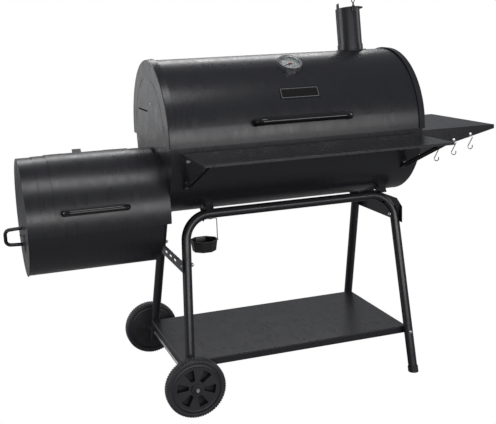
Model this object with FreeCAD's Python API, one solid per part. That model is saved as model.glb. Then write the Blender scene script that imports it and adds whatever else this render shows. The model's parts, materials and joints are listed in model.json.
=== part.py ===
import FreeCAD, Part
import math
import os

# Barrel charcoal grill with an offset firebox, on a wheeled tube frame.
# Millimetres. While it is built, X runs along the barrel (firebox at -X, side table at +X), the
# cook stands at -Y, the barrel's middle is x = 0, y = 0 and the floor is z = 0.  Before the
# export everything moves so that the origin lies on the floor under the middle of the whole.

V = FreeCAD.Vector

# ---------------------------------------------------------------- driving dimensions
SHEET = 1.6                 # wall of every pressed sheet part
GAP = 0.3                   # clearance between pieces that only touch
RUN = 0.06                  # radial clearance of a shaft in its hole

BARREL_AXIS = (0.0, 890.0)  # y, z of the barrel's centre line
BODY_R = 257.0              # outer radius of the lower half
BODY_HALF = 449.0           # half length of the lower half
BODY_RIM_Z = 888.0          # top edge of the lower half
LID_R = BODY_R + 4.0        # outer radius of the lid's sheet
LID_HALF = BODY_HALF + 8.0  # half length over the lid's end caps
LID_EDGE_Z = 883.0          # lower edge of the lid
CAP_BAND = 24.0             # width of the band that an end cap wraps round the sheet
CAP_FLARE = 3.0             # how much the band opens towards its free edge
CAP_CORNER = 3.0            # outer corner radius of an end cap
BEAD_R = LID_R - 56.0       # pressed groove on the lid's end caps
BEAD_WIDTH = 3.0
BEAD_DEPTH = 0.8
CAP_SLOT = (15.0, 155.0, BARREL_AXIS[1] + 88.0, BARREL_AXIS[1] + 93.0)   # y0, y1, z0, z1 of the vent slot in the left cap

LID_HINGE = (BODY_R + 14.0, BARREL_AXIS[1] - 30.0)  # y, z of the lid's hinge axis
LID_HINGE_X = (49.0 - BODY_HALF, BODY_HALF - 49.0)
HINGE_WIDTH = 50.0
KNUCKLE_R = 6.0
HINGE_PIN_R = 2.5
LEAF = 2.0

HANDLE_ANGLE = 168.0        # direction of the lid's handle from the axis, from +Y over the top
HANDLE_REACH = LID_R + 39.0 # its distance from the axis
HANDLE_HALF = 178.0
HANDLE_TUBE_R = 12.0
HANDLE_BEND = 30.0
HANDLE_SCREW_R = 3.0

GAUGE_X = 6.0               # thermometer and badge stand a little right of the middle
GAUGE_ANGLE = 121.0
GAUGE_R = 42.0
GAUGE_DEPTH = 13.0
GAUGE_REST = 205.0          # direction of the needle when cold, from +X
BADGE_ANGLE = 147.5
BADGE_SPAN = 9.0            # degrees of the lid that the badge covers
BADGE_HALF = 70.0

CHIMNEY_X = BODY_HALF - 129.0
CHIMNEY_TILT = 8.4          # degrees that the chimney leans back
CHIMNEY_R = 44.0
CHIMNEY_RISE = 150.0
COLLAR_R = 57.0
DAMPER_R = 47.0
DAMPER_TURN = -11.0         # degrees that the damper stands turned to the side at rest
DAMPER_PIN_R = 3.0

RAIL_Y = 140.0              # frame rails under the barrel
RAIL_Z = BARREL_AXIS[1] - BODY_R + 4.0
FOOT_Y = 283.0              # leg centres on the floor
TUBE_R = 16.0
TUBE_WALL = 1.5
LEG_BEND = 90.0
LEFT_TOP_X = 64.0 - BODY_HALF
LEFT_FOOT_X = LEFT_TOP_X - 52.0
LEFT_LEG_END_Z = 74.0
RIGHT_TOP_X = BODY_HALF - 57.0
RIGHT_FOOT_X = RIGHT_TOP_X + 10.0
RAIL_JOINT_X = -84.0
CONNECTOR_LENGTH = 60.0     # how far one rail is swaged into the other
SADDLE_X = (LEFT_TOP_X + 85.0, RIGHT_TOP_X - 40.0)  # blocks between the rails and the barrel
SADDLE_W = 26.0
FOOT_CAP_H = 28.0
FOOT_CAP_BASE = 4.0

WHEEL_R = 101.6
WHEEL_W = 36.0
WHEEL_OUTER_Y = 335.0
WHEEL_RIM = 17.0
WHEEL_WEB = 14.0
WHEEL_HUB_R = 21.0
WHEEL_HUB_EXTRA = 5.0
WHEEL_POCKETS = 6           # blind pockets in the outer face of each wheel's web
WHEEL_POCKET_HALF = 13.0    # half their width, in degrees
WHEEL_POCKET_TURN = -9.0    # direction of the first one, from +X
WHEEL_POCKET_FLOOR = 6.0    # thickness left behind them
AXLE_R = 6.0
AXLE_OVERHANG = 9.0

SHELF_TOP_Z = 157.5         # lower shelf
SHELF_X = (LEFT_FOOT_X - 8.0, RIGHT_FOOT_X + 1.0)
SHELF_FLANGE = 25.0

BRACE_Z = (RAIL_Z - 181.0, RAIL_Z - 140.0)    # left cross brace
BRACE_LIP = 14.0
PANEL_Z = (RAIL_Z - 102.0, RAIL_Z - 19.0)    # right cross panel

FRONT_TOP_Z = BARREL_AXIS[1] - 24.5   # front shelf and side table share this height
FRONT_EDGE_Y = -BODY_R - 253.0
FRONT_HALF = BODY_HALF - 32.0
FRONT_FLANGE = 19.0
BRACKET_X = FRONT_HALF - 21.0
BRACKET_W = 20.0
STRAP_ANGLES = (186.2, 215.5)

TABLE_RIGHT_X = BODY_HALF + 332.0
TABLE_Y = (-200.0, 230.0)
TABLE_LIP = 14.5            # height of the table's edge at its tip
TABLE_ROOT = 90.0           # height of its side flanges at the barrel
HOOK_X = (BODY_HALF + 92.0, BODY_HALF + 163.0, BODY_HALF + 232.0)
HOOK_WIRE_R = 1.75
HOOK_LOOP_R = 8.0
HOOK_DROP = 36.0            # distance between the two loop centres
HOOK_HOLE_R = 5.5
HOOK_EDGE = 9.0             # hole centre to the table's lower edge
HOOK_SEAT = 2.1             # how far the wire sits below the middle of its hole
HOOK_TURN = -50.0           # degrees from +X that each hook is turned in its hole

FIRE_AXIS = (-9.0, BARREL_AXIS[1] - 229.0)   # y, z of the firebox's centre line
FIRE_R = 199.0
FIRE_LEFT = -BODY_HALF - 458.0
FIRE_BAND = 48.0            # width of the left cap's band
FIRE_TUCK = 9.0             # how far that band slips under the shell
FIRE_EDGE_Z = FIRE_AXIS[1] - 29.0   # lower edge of the firebox's upper half
FIRE_FLANGE = 7.0           # inward lip that carries the ash drawer
PASSAGE_R = FIRE_R - 31.0   # smoke passage between firebox and barrel
PASSAGE_BARREL_R = BODY_R - 25.0
PASSAGE_Z = (FIRE_AXIS[1] + 7.0, FIRE_AXIS[1] + 185.0)

DOOR_X = (FIRE_LEFT + 90.0, -BODY_HALF - 91.0)
DOOR_ANGLES = (67.0, 173.5)
DOOR_GAP = 0.6
DOOR_CORNER = 20.0
DOOR_LAP = 10.0             # how far the door laps over the opening
DOOR_HINGE_ANGLE = 63.0
DOOR_HINGE_REACH = FIRE_R + 9.0
DOOR_HINGE_X = (DOOR_X[0] + 47.0, DOOR_X[1] - 47.0)
DOOR_HINGE_WIDTH = 40.0
DOOR_HANDLE_X = (DOOR_X[0] + 14.0, DOOR_X[1] - 43.0)
DOOR_HANDLE_ANGLE = 168.0
DOOR_HANDLE_REACH = FIRE_R + 39.0
DOOR_HANDLE_R = 10.0
STOP_ANGLE = 52.0
STOP_REACH = FIRE_R + 47.0
STOP_X = (DOOR_X[0] + 111.0, DOOR_X[0] + 142.0)

DRAWER_R = FIRE_R - 8.0
DRAWER_X = (FIRE_LEFT + 12.0, -BODY_HALF - 24.0)
DRAWER_RIM_Z = FIRE_EDGE_Z + 3.5
DRAWER_LIP = 3.5            # outward lip that rides on the firebox's flange
DRAWER_FRONT_R = DRAWER_R - 1.0
LOOP_Y = 35.0
LOOP_Z = (FIRE_AXIS[1] - 98.0, FIRE_AXIS[1] - 42.0)     # arms of the drawer's loop handle
LOOP_TIP_X = FIRE_LEFT - 55.0
LOOP_R = 6.0
SHUTTER_R = 32.0
SHUTTER_AXIS = (-45.0, FIRE_AXIS[1] - 76.0)   # y, z of the rotary air vent
VENT_HOLE_R = 9.0
VENT_HOLES = 4

GRATE_Z = BARREL_AXIS[1] - 28.0   # underside of the cooking grates
GRATE_WIRE_R = 2.5
GRATE_FRAME_R = 3.5
WELD_STEP = 0.6             # height of a grate's wires over the middle of its frame
GRATE_HALF_Y = BODY_R - 10.0
GRATE_HALF_X = BODY_HALF - 19.0
GRATE_PITCH = 20.0
PAN_Z = BARREL_AXIS[1] - 148.0
PAN_HALF = (BODY_HALF - 49.0, BODY_R - 107.0)
PAN_H = 34.0
RACK_PIVOT = (-40.0, BARREL_AXIS[1] + 120.0)
RACK_HALF_X = BODY_HALF - 13.0
RACK_HALF_Y = 95.0
RACK_PITCH = 50.0
RACK_LINK_OFFSET = 40.0
RACK_WIRE_R = 3.0
FIRE_GRATE_Z = FIRE_AXIS[1] - 63.0

CUP_X = LEFT_TOP_X + 100.0  # grease drain and the cup under it
DRAIN_R = 8.0
CUP_TOP_Z = RAIL_Z - 124.0
CUP_H = 40.0
CUP_ACROSS = 90.0           # across the flats of the eight-sided mouth
CUP_TAPER = 6.0             # how much each wall leans in towards the bottom
BAIL_TOP_Z = RAIL_Z - 51.0
BAIL_R = 1.8

BOLT_R = 3.0
BOLT_HEAD_R = 6.5
BOLT_HEAD_H = 4.0

FAR = 3000.0


# ---------------------------------------------------------------- shape helpers
def box(x0, x1, y0, y1, z0, z1):
    return Part.makeBox(x1 - x0, y1 - y0, z1 - z0, V(x0, y0, z0))


def cylinder(start, direction, radius, length):
    return Part.makeCylinder(radius, length, V(*start), V(*direction))


def above(shape, z):
    return shape.common(box(-FAR, FAR, -FAR, FAR, z, FAR))


def below(shape, z):
    return shape.common(box(-FAR, FAR, -FAR, FAR, -FAR, z))


def polar(axis, radius, angle):
    """y and z at a radius and an angle (from +Y towards +Z) about a centre line along X."""
    turn = math.radians(angle)
    return axis[0] + radius * math.cos(turn), axis[1] + radius * math.sin(turn)


def curved_sheet(axis, r_in, r_out, a0, a1, x0, x1):
    """A sheet bent about a line along X, between two angles."""
    def at(radius, angle):
        y, z = polar(axis, radius, angle)
        return V(x0, y, z)
    mid = (a0 + a1) / 2.0
    outer = Part.Arc(at(r_out, a0), at(r_out, mid), at(r_out, a1)).toShape()
    inner = Part.Arc(at(r_in, a1), at(r_in, mid), at(r_in, a0)).toShape()
    ends = [Part.makeLine(at(r_out, a1), at(r_in, a1)), Part.makeLine(at(r_in, a0), at(r_out, a0))]
    face = Part.Face(Part.Wire([outer, ends[0], inner, ends[1]]))
    return face.extrude(V(x1 - x0, 0, 0))


def disc(axis, radius, x0, x1):
    return cylinder((x0, axis[0], axis[1]), (1, 0, 0), radius, x1 - x0)


def ring(axis, r_in, r_out, x0, x1):
    return disc(axis, r_out, x0, x1).cut(disc(axis, r_in, x0, x1))


def polygon(points, push):
    """A flat outline, pushed along a vector into a solid."""
    corners = [V(*p) for p in points]
    return Part.Face(Part.makePolygon(corners + corners[:1])).extrude(V(*push))


def bent_wire(points, bend):
    """A path through the points, with tangent arcs at the corners."""
    nodes = [V(*p) for p in points]
    edges = []
    start = nodes[0]
    for before, corner, after in zip(nodes, nodes[1:], nodes[2:]):
        arrive = (corner - before).normalize()
        leave = (after - corner).normalize()
        turn = arrive.getAngle(leave)
        reach = bend * math.tan(turn / 2.0)
        toward = (leave - arrive).normalize()
        enter = corner - arrive * reach
        depart = corner + leave * reach
        middle = corner + toward * (bend / math.cos(turn / 2.0) - bend)
        edges.append(Part.makeLine(start, enter))
        edges.append(Part.Arc(enter, middle, depart).toShape())
        start = depart
    edges.append(Part.makeLine(start, nodes[-1]))
    return Part.Wire(edges)


def bent_rod(points, bend, radius):
    path = bent_wire(points, bend)
    first = V(*points[0])
    direction = V(*points[1]) - first
    profile = Part.Wire(Part.makeCircle(radius, first, direction))
    return path.makePipeShell([profile], True, False)


def bent_tube(points, bend, radius, wall):
    return bent_rod(points, bend, radius).cut(bent_rod(points, bend, radius - wall))


def fused(shapes):
    return shapes[0].multiFuse(shapes[1:]).removeSplitter() if len(shapes) > 1 else shapes[0]


def mirrored_x(shape):
    return shape.mirror(V(0, 0, 0), V(1, 0, 0))


def mirrored_y(shape):
    return shape.mirror(V(0, 0, 0), V(0, 1, 0))


def prism(x0, x1, outline):
    """A flat outline of (y, z) points, pushed along X."""
    return polygon([(x0, y, z) for y, z in outline], (x1 - x0, 0, 0))


class Bolt:
    """A round-headed bolt: the head sits on seat, the shank runs along direction."""

    def __init__(self, seat, direction, grip, radius=BOLT_R, nut=True):
        self.seat = V(*seat)
        self.way = V(*direction).normalize()
        self.grip = grip
        self.radius = radius
        self.nut = nut
        self.head_r = BOLT_HEAD_R * radius / BOLT_R
        self.head_h = BOLT_HEAD_H * radius / BOLT_R

    def solid(self):
        flange = Part.makeCylinder(self.head_r, self.head_h / 2, self.seat, self.way * -1)
        crown = Part.makeCone(self.head_r, self.head_r * 0.55, self.head_h / 2,
                              self.seat - self.way * (self.head_h / 2), self.way * -1)
        reach = self.grip + (2 * self.head_h if self.nut else 0)
        pieces = [flange, crown, Part.makeCylinder(self.radius, reach, self.seat, self.way)]
        if self.nut:
            pieces.append(Part.makeCylinder(self.head_r, self.head_h, self.seat + self.way * self.grip, self.way))
        return fused(pieces)

    def void(self):
        """The space that the bolt needs in the pieces it passes."""
        bore = Part.makeCylinder(self.radius + GAP, self.grip + 4 * self.head_h,
                                 self.seat - self.way * self.head_h, self.way)
        counter = Part.makeCylinder(self.head_r + GAP, 4 * self.head_h, self.seat, self.way * -1)
        nut = Part.makeCylinder(self.head_r + GAP, 4 * self.head_h, self.seat + self.way * self.grip, self.way)
        return bore.fuse([counter, nut]) if self.nut else bore.fuse(counter)


def cut_bolts(shape, bolts):
    return shape.cut([b.void() for b in bolts])


def bolt_group(bolts):
    return Part.makeCompound([b.solid() for b in bolts])


PARTS = {}


# ---------------------------------------------------------------- frame
def leg_y(z):
    """Distance of a leg's centre line from the middle plane at a height."""
    return RAIL_Y + (FOOT_Y - RAIL_Y) * (RAIL_Z - z) / RAIL_Z


def leg_x(top_x, foot_x, z):
    return top_x + (foot_x - top_x) * (RAIL_Z - z) / RAIL_Z


SPLAY = math.atan2(FOOT_Y - RAIL_Y, RAIL_Z)
LEG_FACE = TUBE_R / math.cos(SPLAY)      # from a leg's centre line to its face, along Y
AXLE_X = leg_x(LEFT_TOP_X, LEFT_FOOT_X, WHEEL_R)
AXLE_HALF = WHEEL_OUTER_Y + WHEEL_HUB_EXTRA + AXLE_OVERHANG


def frame_bolts():
    """Bolts through the four legs: into the lower shelf along Y."""
    bolts = []
    height = SHELF_TOP_Z - SHELF_FLANGE / 2
    for side in (-1, 1):
        for top_x, foot_x in ((LEFT_TOP_X, LEFT_FOOT_X), (RIGHT_TOP_X, RIGHT_FOOT_X)):
            x = leg_x(top_x, foot_x, height)
            seat = (x, side * (leg_y(height) + LEG_FACE), height)
            bolts.append(Bolt(seat, (0, -side, 0), 2 * LEG_FACE + 4 * SHEET, nut=True))
    return bolts


def brace_bolts():
    """Bolts along X that hold the two cross members to the legs."""
    bolts = []
    brace_z = sum(BRACE_Z) / 2
    panel_z = PANEL_Z[0] + 30
    for side in (-1, 1):
        x = leg_x(LEFT_TOP_X, LEFT_FOOT_X, brace_z)
        bolts.append(Bolt((x - TUBE_R - SHEET - GAP, side * leg_y(brace_z), brace_z), (1, 0, 0), 2 * TUBE_R + SHEET + 2 * GAP))
        x = leg_x(RIGHT_TOP_X, RIGHT_FOOT_X, panel_z)
        bolts.append(Bolt((x + TUBE_R + SHEET + GAP, side * leg_y(panel_z), panel_z), (-1, 0, 0), 2 * TUBE_R + SHEET + 2 * GAP))
    return bolts


def saddle_bolts():
    """Bolts up through the rails and saddles into the barrel, square to its wall."""
    bolts = []
    for side in (-1, 1):
        for x in SADDLE_X:
            toward = V(0, BARREL_AXIS[0] - side * RAIL_Y, BARREL_AXIS[1] - RAIL_Z).normalize()
            seat = V(x, side * RAIL_Y, RAIL_Z) - toward * TUBE_R
            gap = V(0, BARREL_AXIS[0] - side * RAIL_Y, BARREL_AXIS[1] - RAIL_Z).Length - BODY_R - TUBE_R
            bolts.append(Bolt(seat, toward, 2 * TUBE_R + gap + SHEET + GAP))
    return bolts


FRAME_BOLTS = frame_bolts()
BRACE_BOLTS = brace_bolts()
SADDLE_BOLTS = saddle_bolts()


def leg_tube(top_x, foot_x, end_z, side):
    path = [(leg_x(top_x, foot_x, end_z), side * leg_y(end_z), end_z),
            (top_x, side * RAIL_Y, RAIL_Z),
            (RAIL_JOINT_X + math.copysign(GAP, top_x), side * RAIL_Y, RAIL_Z)]
    tube = bent_tube(path, LEG_BEND, TUBE_R, TUBE_WALL)
    return cut_bolts(tube, FRAME_BOLTS + BRACE_BOLTS + SADDLE_BOLTS)


def swaged_end(side):
    """The narrowed end of a left rail, which plugs into the right rail."""
    outer = TUBE_R - TUBE_WALL
    start = (RAIL_JOINT_X - GAP - 10, side * RAIL_Y, RAIL_Z)
    plug = cylinder(start, (1, 0, 0), outer - 0.1, CONNECTOR_LENGTH + 10)
    shoulder = cylinder(start, (1, 0, 0), outer + 0.1, 10)
    return plug.fuse(shoulder).cut(cylinder(start, (1, 0, 0), outer - 0.1 - TUBE_WALL, CONNECTOR_LENGTH + 10))


def make_frame():
    axle_hole = cylinder((AXLE_X, -FAR, WHEEL_R), (0, 1, 0), AXLE_R + GAP, 2 * FAR)
    for side, name in ((-1, "front"), (1, "rear")):
        left = leg_tube(LEFT_TOP_X, LEFT_FOOT_X, LEFT_LEG_END_Z, side)
        PARTS["frame_leg_left_" + name] = left.fuse(swaged_end(side)).removeSplitter().cut(axle_hole)
        right = leg_tube(RIGHT_TOP_X, RIGHT_FOOT_X, 0.0, side)
        PARTS["frame_leg_right_" + name] = above(right, FOOT_CAP_BASE + GAP)
    feet = []
    for side in (-1, 1):
        foot = V(RIGHT_FOOT_X, side * FOOT_Y, 0)
        top = V(leg_x(RIGHT_TOP_X, RIGHT_FOOT_X, FOOT_CAP_H), side * leg_y(FOOT_CAP_H), FOOT_CAP_H)
        way = top - foot
        cup = Part.makeCylinder(TUBE_R + 2.5, way.Length + 20, foot - way, way)
        bore = Part.makeCylinder(TUBE_R + 0.1, way.Length * 3, foot - way, way)
        bore = above(bore, FOOT_CAP_BASE)
        cap = above(below(cup, FOOT_CAP_H), 0)
        feet.append(cap.cut(bore))
    PARTS["foot_caps"] = Part.makeCompound(feet)

    saddles = []
    for bolt in SADDLE_BOLTS:
        base = bolt.seat + bolt.way * TUBE_R
        block = Part.makeBox(SADDLE_W, 2 * TUBE_R, 4 * TUBE_R)
        block.Placement = FreeCAD.Placement(base, FreeCAD.Rotation(V(0, 0, 1), bolt.way)).multiply(
            FreeCAD.Placement(V(-SADDLE_W / 2, -TUBE_R, 0), FreeCAD.Rotation()))
        rail = cylinder((-FAR, math.copysign(RAIL_Y, base.y), RAIL_Z), (1, 0, 0), TUBE_R + GAP / 2, 2 * FAR)
        saddles.append(block.cut([rail, disc(BARREL_AXIS, BODY_R + GAP / 2, -FAR, FAR), bolt.void()]))
    PARTS["barrel_saddles"] = Part.makeCompound(saddles)



def make_cross_members():
    z0, z1 = BRACE_Z
    mid = (z0 + z1) / 2
    x = leg_x(LEFT_TOP_X, LEFT_FOOT_X, z0) - TUBE_R - GAP
    half = leg_y(mid) + TUBE_R
    web = box(x - SHEET, x, -half, half, z0, z1)
    lip = box(x - BRACE_LIP, x, -half + 40, half - 40, z1 - SHEET, z1)
    slots = [box(x - 2 * SHEET, x + SHEET, y - 15, y + 15, mid - 4, mid + 4) for y in (-90, -30, 30, 90)]
    PARTS["cross_brace_left"] = cut_bolts(web.fuse(lip).cut(slots), BRACE_BOLTS)

    z0, z1 = PANEL_Z
    x = leg_x(RIGHT_TOP_X, RIGHT_FOOT_X, z0) + TUBE_R + GAP
    low = leg_y(z0) + TUBE_R + 4
    high = leg_y(z1) + TUBE_R + 4
    corner = 20
    plate = polygon([(x, -low, z0), (x, low, z0), (x, low, z0 + 58), (x, high - corner, z1),
                     (x, -high + corner, z1), (x, -low, z0 + 58)], (SHEET, 0, 0))
    lip = box(x, x + BRACE_LIP / 2, -low + 45, low - 45, z0, z0 + SHEET)
    PARTS["cross_panel_right"] = cut_bolts(plate.fuse(lip), BRACE_BOLTS)


def make_lower_shelf():
    x0, x1 = SHELF_X
    half = leg_y(SHELF_TOP_Z) - LEG_FACE - GAP
    z0 = SHELF_TOP_Z - SHELF_FLANGE
    tray = box(x0, x1, -half, half, z0, SHELF_TOP_Z)
    tray = tray.makeFillet(3.0, [e for e in tray.Edges if abs(e.CenterOfMass.z - SHELF_TOP_Z) < 0.01])
    hollow = box(x0 + SHEET, x1 - SHEET, -half + SHEET, half - SHEET, z0 - 1, SHELF_TOP_Z - SHEET)
    PARTS["lower_shelf"] = cut_bolts(tray.cut(hollow), FRAME_BOLTS)


# ---------------------------------------------------------------- wheels
def make_wheels():
    hub_in = WHEEL_OUTER_Y - WHEEL_W - WHEEL_HUB_EXTRA
    hub_out = WHEEL_OUTER_Y + WHEEL_HUB_EXTRA
    mid = WHEEL_OUTER_Y - WHEEL_W / 2
    centre = (AXLE_X, 0, WHEEL_R)

    def drum(radius, y0, y1):
        return cylinder((centre[0], y0, centre[2]), (0, 1, 0), radius, y1 - y0)

    tyre = drum(WHEEL_R, mid - WHEEL_W / 2, mid + WHEEL_W / 2)
    rims = [e for e in tyre.Edges if abs(e.Length - 2 * math.pi * WHEEL_R) < 1]
    tyre = tyre.makeFillet(5.0, rims)
    rim = tyre.cut(drum(WHEEL_R - WHEEL_RIM, mid - WHEEL_W, mid + WHEEL_W))
    web = drum(WHEEL_R - WHEEL_RIM + 1, mid - WHEEL_WEB / 2, mid + WHEEL_WEB / 2)
    pocket_out = WHEEL_R - WHEEL_RIM - 18.6
    pocket_in = WHEEL_HUB_R + 6
    pocket_y = mid - WHEEL_WEB / 2 + WHEEL_POCKET_FLOOR
    pocket_zone = drum(pocket_out, pocket_y, mid + WHEEL_W).cut(drum(pocket_in, pocket_y, mid + WHEEL_W))
    pockets = []
    for index in range(WHEEL_POCKETS):
        turn = 2 * math.pi * index / WHEEL_POCKETS + math.radians(WHEEL_POCKET_TURN)
        spread = math.radians(WHEEL_POCKET_HALF)
        reach = 2 * WHEEL_R
        corners = [(centre[0], pocket_y, centre[2])]
        for side in (-1, 1):
            corners.append((centre[0] + reach * math.cos(turn + side * spread), pocket_y,
                            centre[2] + reach * math.sin(turn + side * spread)))
        wedge = polygon(corners, (0, WHEEL_W, 0))
        pockets.append(wedge.common(pocket_zone))
    hub = drum(WHEEL_HUB_R, hub_in, hub_out)
    wheel = fused([rim, web.cut(pockets), hub]).cut(drum(AXLE_R + RUN, 0, FAR))
    PARTS["wheel_rear"] = wheel
    PARTS["wheel_front"] = mirrored_y(wheel)

    axle = cylinder((AXLE_X, -AXLE_HALF, WHEEL_R), (0, 1, 0), AXLE_R, 2 * AXLE_HALF)
    PARTS["axle"] = axle
    leg_out = leg_y(WHEEL_R) + LEG_FACE + 3
    hardware = []
    for side in (-1, 1):
        spacer = drum(AXLE_R + 5, leg_out, hub_in - GAP).cut(drum(AXLE_R + 0.1, 0, FAR))
        nut = drum(AXLE_R + 4.5, hub_out + GAP, hub_out + GAP + 6).cut(drum(AXLE_R + 0.1, 0, FAR))
        hardware.extend([spacer, nut] if side > 0 else [mirrored_y(spacer), mirrored_y(nut)])
    PARTS["axle_hardware"] = Part.makeCompound(hardware)


# ---------------------------------------------------------------- barrel, lower half
BODY_IN = BODY_R - SHEET


def passage(x0, x1):
    """The smoke passage: inside both the firebox and the barrel, between two heights."""
    shape = disc(FIRE_AXIS, PASSAGE_R, x0, x1).common(disc(BARREL_AXIS, PASSAGE_BARREL_R, x0, x1))
    return above(below(shape, PASSAGE_Z[1]), PASSAGE_Z[0])


def table_bolts():
    x = BODY_HALF + SHEET + GAP
    heights = (FRONT_TOP_Z - 65.5, FRONT_TOP_Z - 25.5)
    return [Bolt((x, y, z), (-1, 0, 0), 2 * SHEET + GAP) for y in (-150, 150) for z in heights]


def fire_bolts():
    bolts = []
    for angle in (22, 62, 118, 158):
        y, z = polar(FIRE_AXIS, (PASSAGE_R + FIRE_R) / 2, angle)
        if math.hypot(y - BARREL_AXIS[0], z - BARREL_AXIS[1]) < BODY_IN - BOLT_HEAD_R - 2:
            bolts.append(Bolt((-BODY_HALF - SHEET, y, z), (1, 0, 0), 2 * SHEET))
    return bolts


def bracket_bolts():
    bolts = []
    for x in (-BRACKET_X, BRACKET_X):
        for angle in (STRAP_ANGLES[0] + 5, STRAP_ANGLES[1] - 6):
            y, z = polar(BARREL_AXIS, BODY_R + GAP + LEAF, angle)
            way = (0, BARREL_AXIS[0] - y, BARREL_AXIS[1] - z)
            bolts.append(Bolt((x, y, z), way, LEAF + SHEET + 2 * GAP))
    return bolts


TABLE_BOLTS = table_bolts()
FIRE_BOLTS = fire_bolts()
BRACKET_BOLTS = bracket_bolts()


def make_barrel():
    trough = below(ring(BARREL_AXIS, BODY_IN, BODY_R, -BODY_HALF, BODY_HALF), BODY_RIM_Z)
    drain = cylinder((CUP_X, 0, BARREL_AXIS[1] - BODY_R - 5), (0, 0, 1), DRAIN_R, 20)
    PARTS["barrel_trough"] = cut_bolts(trough.cut(drain), SADDLE_BOLTS + BRACKET_BOLTS)

    plate = below(disc(BARREL_AXIS, BODY_IN - 0.1, BODY_HALF - SHEET, BODY_HALF), BODY_RIM_Z)
    hem = below(ring(BARREL_AXIS, BODY_IN - 0.1 - SHEET, BODY_IN - 0.1, BODY_HALF - 12, BODY_HALF - SHEET), BODY_RIM_Z)
    end = plate.fuse(hem)
    PARTS["barrel_end_right"] = cut_bolts(end, TABLE_BOLTS)
    left = mirrored_x(end).cut(passage(-BODY_HALF - 5, -BODY_HALF + 20))
    PARTS["barrel_end_left"] = cut_bolts(left, FIRE_BOLTS)

    spout_top = BARREL_AXIS[1] - BODY_R
    flange = cylinder((CUP_X, 0, spout_top - 2.2), (0, 0, 1), DRAIN_R + 6, 2)
    pipe = cylinder((CUP_X, 0, spout_top - 14), (0, 0, 1), DRAIN_R, 14)
    spout = flange.fuse(pipe).cut(cylinder((CUP_X, 0, spout_top - 30), (0, 0, 1), DRAIN_R - SHEET, 60))
    PARTS["grease_spout"] = spout.cut(disc(BARREL_AXIS, BODY_R, -FAR, FAR))


# ---------------------------------------------------------------- lid
LID_IN = LID_R - SHEET


def hinge_bolts(wall_r, angle, inward_grip):
    bolts = []
    for x in LID_HINGE_X:
        for dx in (-15, 15):
            y, z = polar(BARREL_AXIS, wall_r + GAP + LEAF, angle)
            way = (0, BARREL_AXIS[0] - y, BARREL_AXIS[1] - z)
            bolts.append(Bolt((x + dx, y, z), way, inward_grip, 2.0))
    return bolts


LID_HINGE_BOLTS = hinge_bolts(LID_R, 5.5, LEAF + SHEET + 2 * GAP)
BODY_HINGE_BOLTS = hinge_bolts(BODY_R, -11.0, LEAF + SHEET + 2 * GAP)


def knuckle(centre, x0, x1, radius):
    return cylinder((x0, centre[0], centre[1]), (1, 0, 0), radius, x1 - x0)


def handle_path(axis, reach, angle, x0, x1, foot_r):
    """Ends square to a curved wall, joined by a bar that stands off it."""
    inner = polar(axis, foot_r, angle)
    outer = polar(axis, reach, angle)
    return [(x0, *inner), (x0, *outer), (x1, *outer), (x1, *inner)]


def handle_screws(axis, angle, x0, x1, wall_in, wall):
    """Screws from inside the wall into the handle's ends."""
    screws = []
    for x in (x0, x1):
        y, z = polar(axis, wall_in - GAP, angle)
        way = (0, y - axis[0], z - axis[1])
        screws.append(Bolt((x, y, z), way, wall + 14, HANDLE_SCREW_R, nut=False))
    return screws


LID_SCREWS = handle_screws(BARREL_AXIS, HANDLE_ANGLE, -HANDLE_HALF + HANDLE_TUBE_R,
                           HANDLE_HALF - HANDLE_TUBE_R, LID_IN, SHEET)


def gauge_axis():
    y, z = polar(BARREL_AXIS, 1.0, GAUGE_ANGLE)
    return V(0, y - BARREL_AXIS[0], z - BARREL_AXIS[1])


def chimney_axis():
    y, z = polar(BARREL_AXIS, 1.0, 90 - CHIMNEY_TILT)
    return V(0, y - BARREL_AXIS[0], z - BARREL_AXIS[1])


def on_gauge(height, radius, length):
    out = gauge_axis()
    centre = V(GAUGE_X, *BARREL_AXIS) + out * (LID_R + height)
    return Part.makeCylinder(radius, length, centre, out)


def cap_profile():
    """Half section of the right end cap: x and radius, from the middle of the face outwards."""
    face_r = LID_R + GAP + SHEET
    free_r = face_r + CAP_FLARE
    x1 = LID_HALF
    x0 = LID_HALF - CAP_BAND
    k = CAP_CORNER * (1 - math.sqrt(0.5))
    corner = [(x1, face_r - CAP_CORNER), (x1 - k, face_r - k), (x1 - CAP_CORNER, face_r + CAP_FLARE * 0.12)]
    return corner, (x0, free_r), (x0, free_r - SHEET), (x1 - SHEET, face_r - SHEET)


def lid_cap():
    corner, free_out, free_in, inner = cap_profile()

    def at(point):
        return V(point[0], BARREL_AXIS[0], BARREL_AXIS[1] + point[1])
    edges = [Part.makeLine(at((LID_HALF, 0)), at(corner[0])),
             Part.Arc(at(corner[0]), at(corner[1]), at(corner[2])).toShape(),
             Part.makeLine(at(corner[2]), at(free_out)),
             Part.makeLine(at(free_out), at(free_in)),
             Part.makeLine(at(free_in), at(inner)),
             Part.makeLine(at(inner), at((LID_HALF - SHEET, 0))),
             Part.makeLine(at((LID_HALF - SHEET, 0)), at((LID_HALF, 0)))]
    whole = Part.Face(Part.Wire(edges)).revolve(V(0, *BARREL_AXIS), V(1, 0, 0), 360)
    cap = above(whole, LID_EDGE_Z)
    groove = curved_sheet(BARREL_AXIS, BEAD_R - BEAD_WIDTH / 2, BEAD_R + BEAD_WIDTH / 2, 8, 84,
                          LID_HALF - BEAD_DEPTH, LID_HALF + 1)
    groove_rear = curved_sheet(BARREL_AXIS, BEAD_R - BEAD_WIDTH / 2, BEAD_R + BEAD_WIDTH / 2, 98, 168,
                               LID_HALF - BEAD_DEPTH, LID_HALF + 1)
    return cap.cut([groove, groove_rear])


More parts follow.
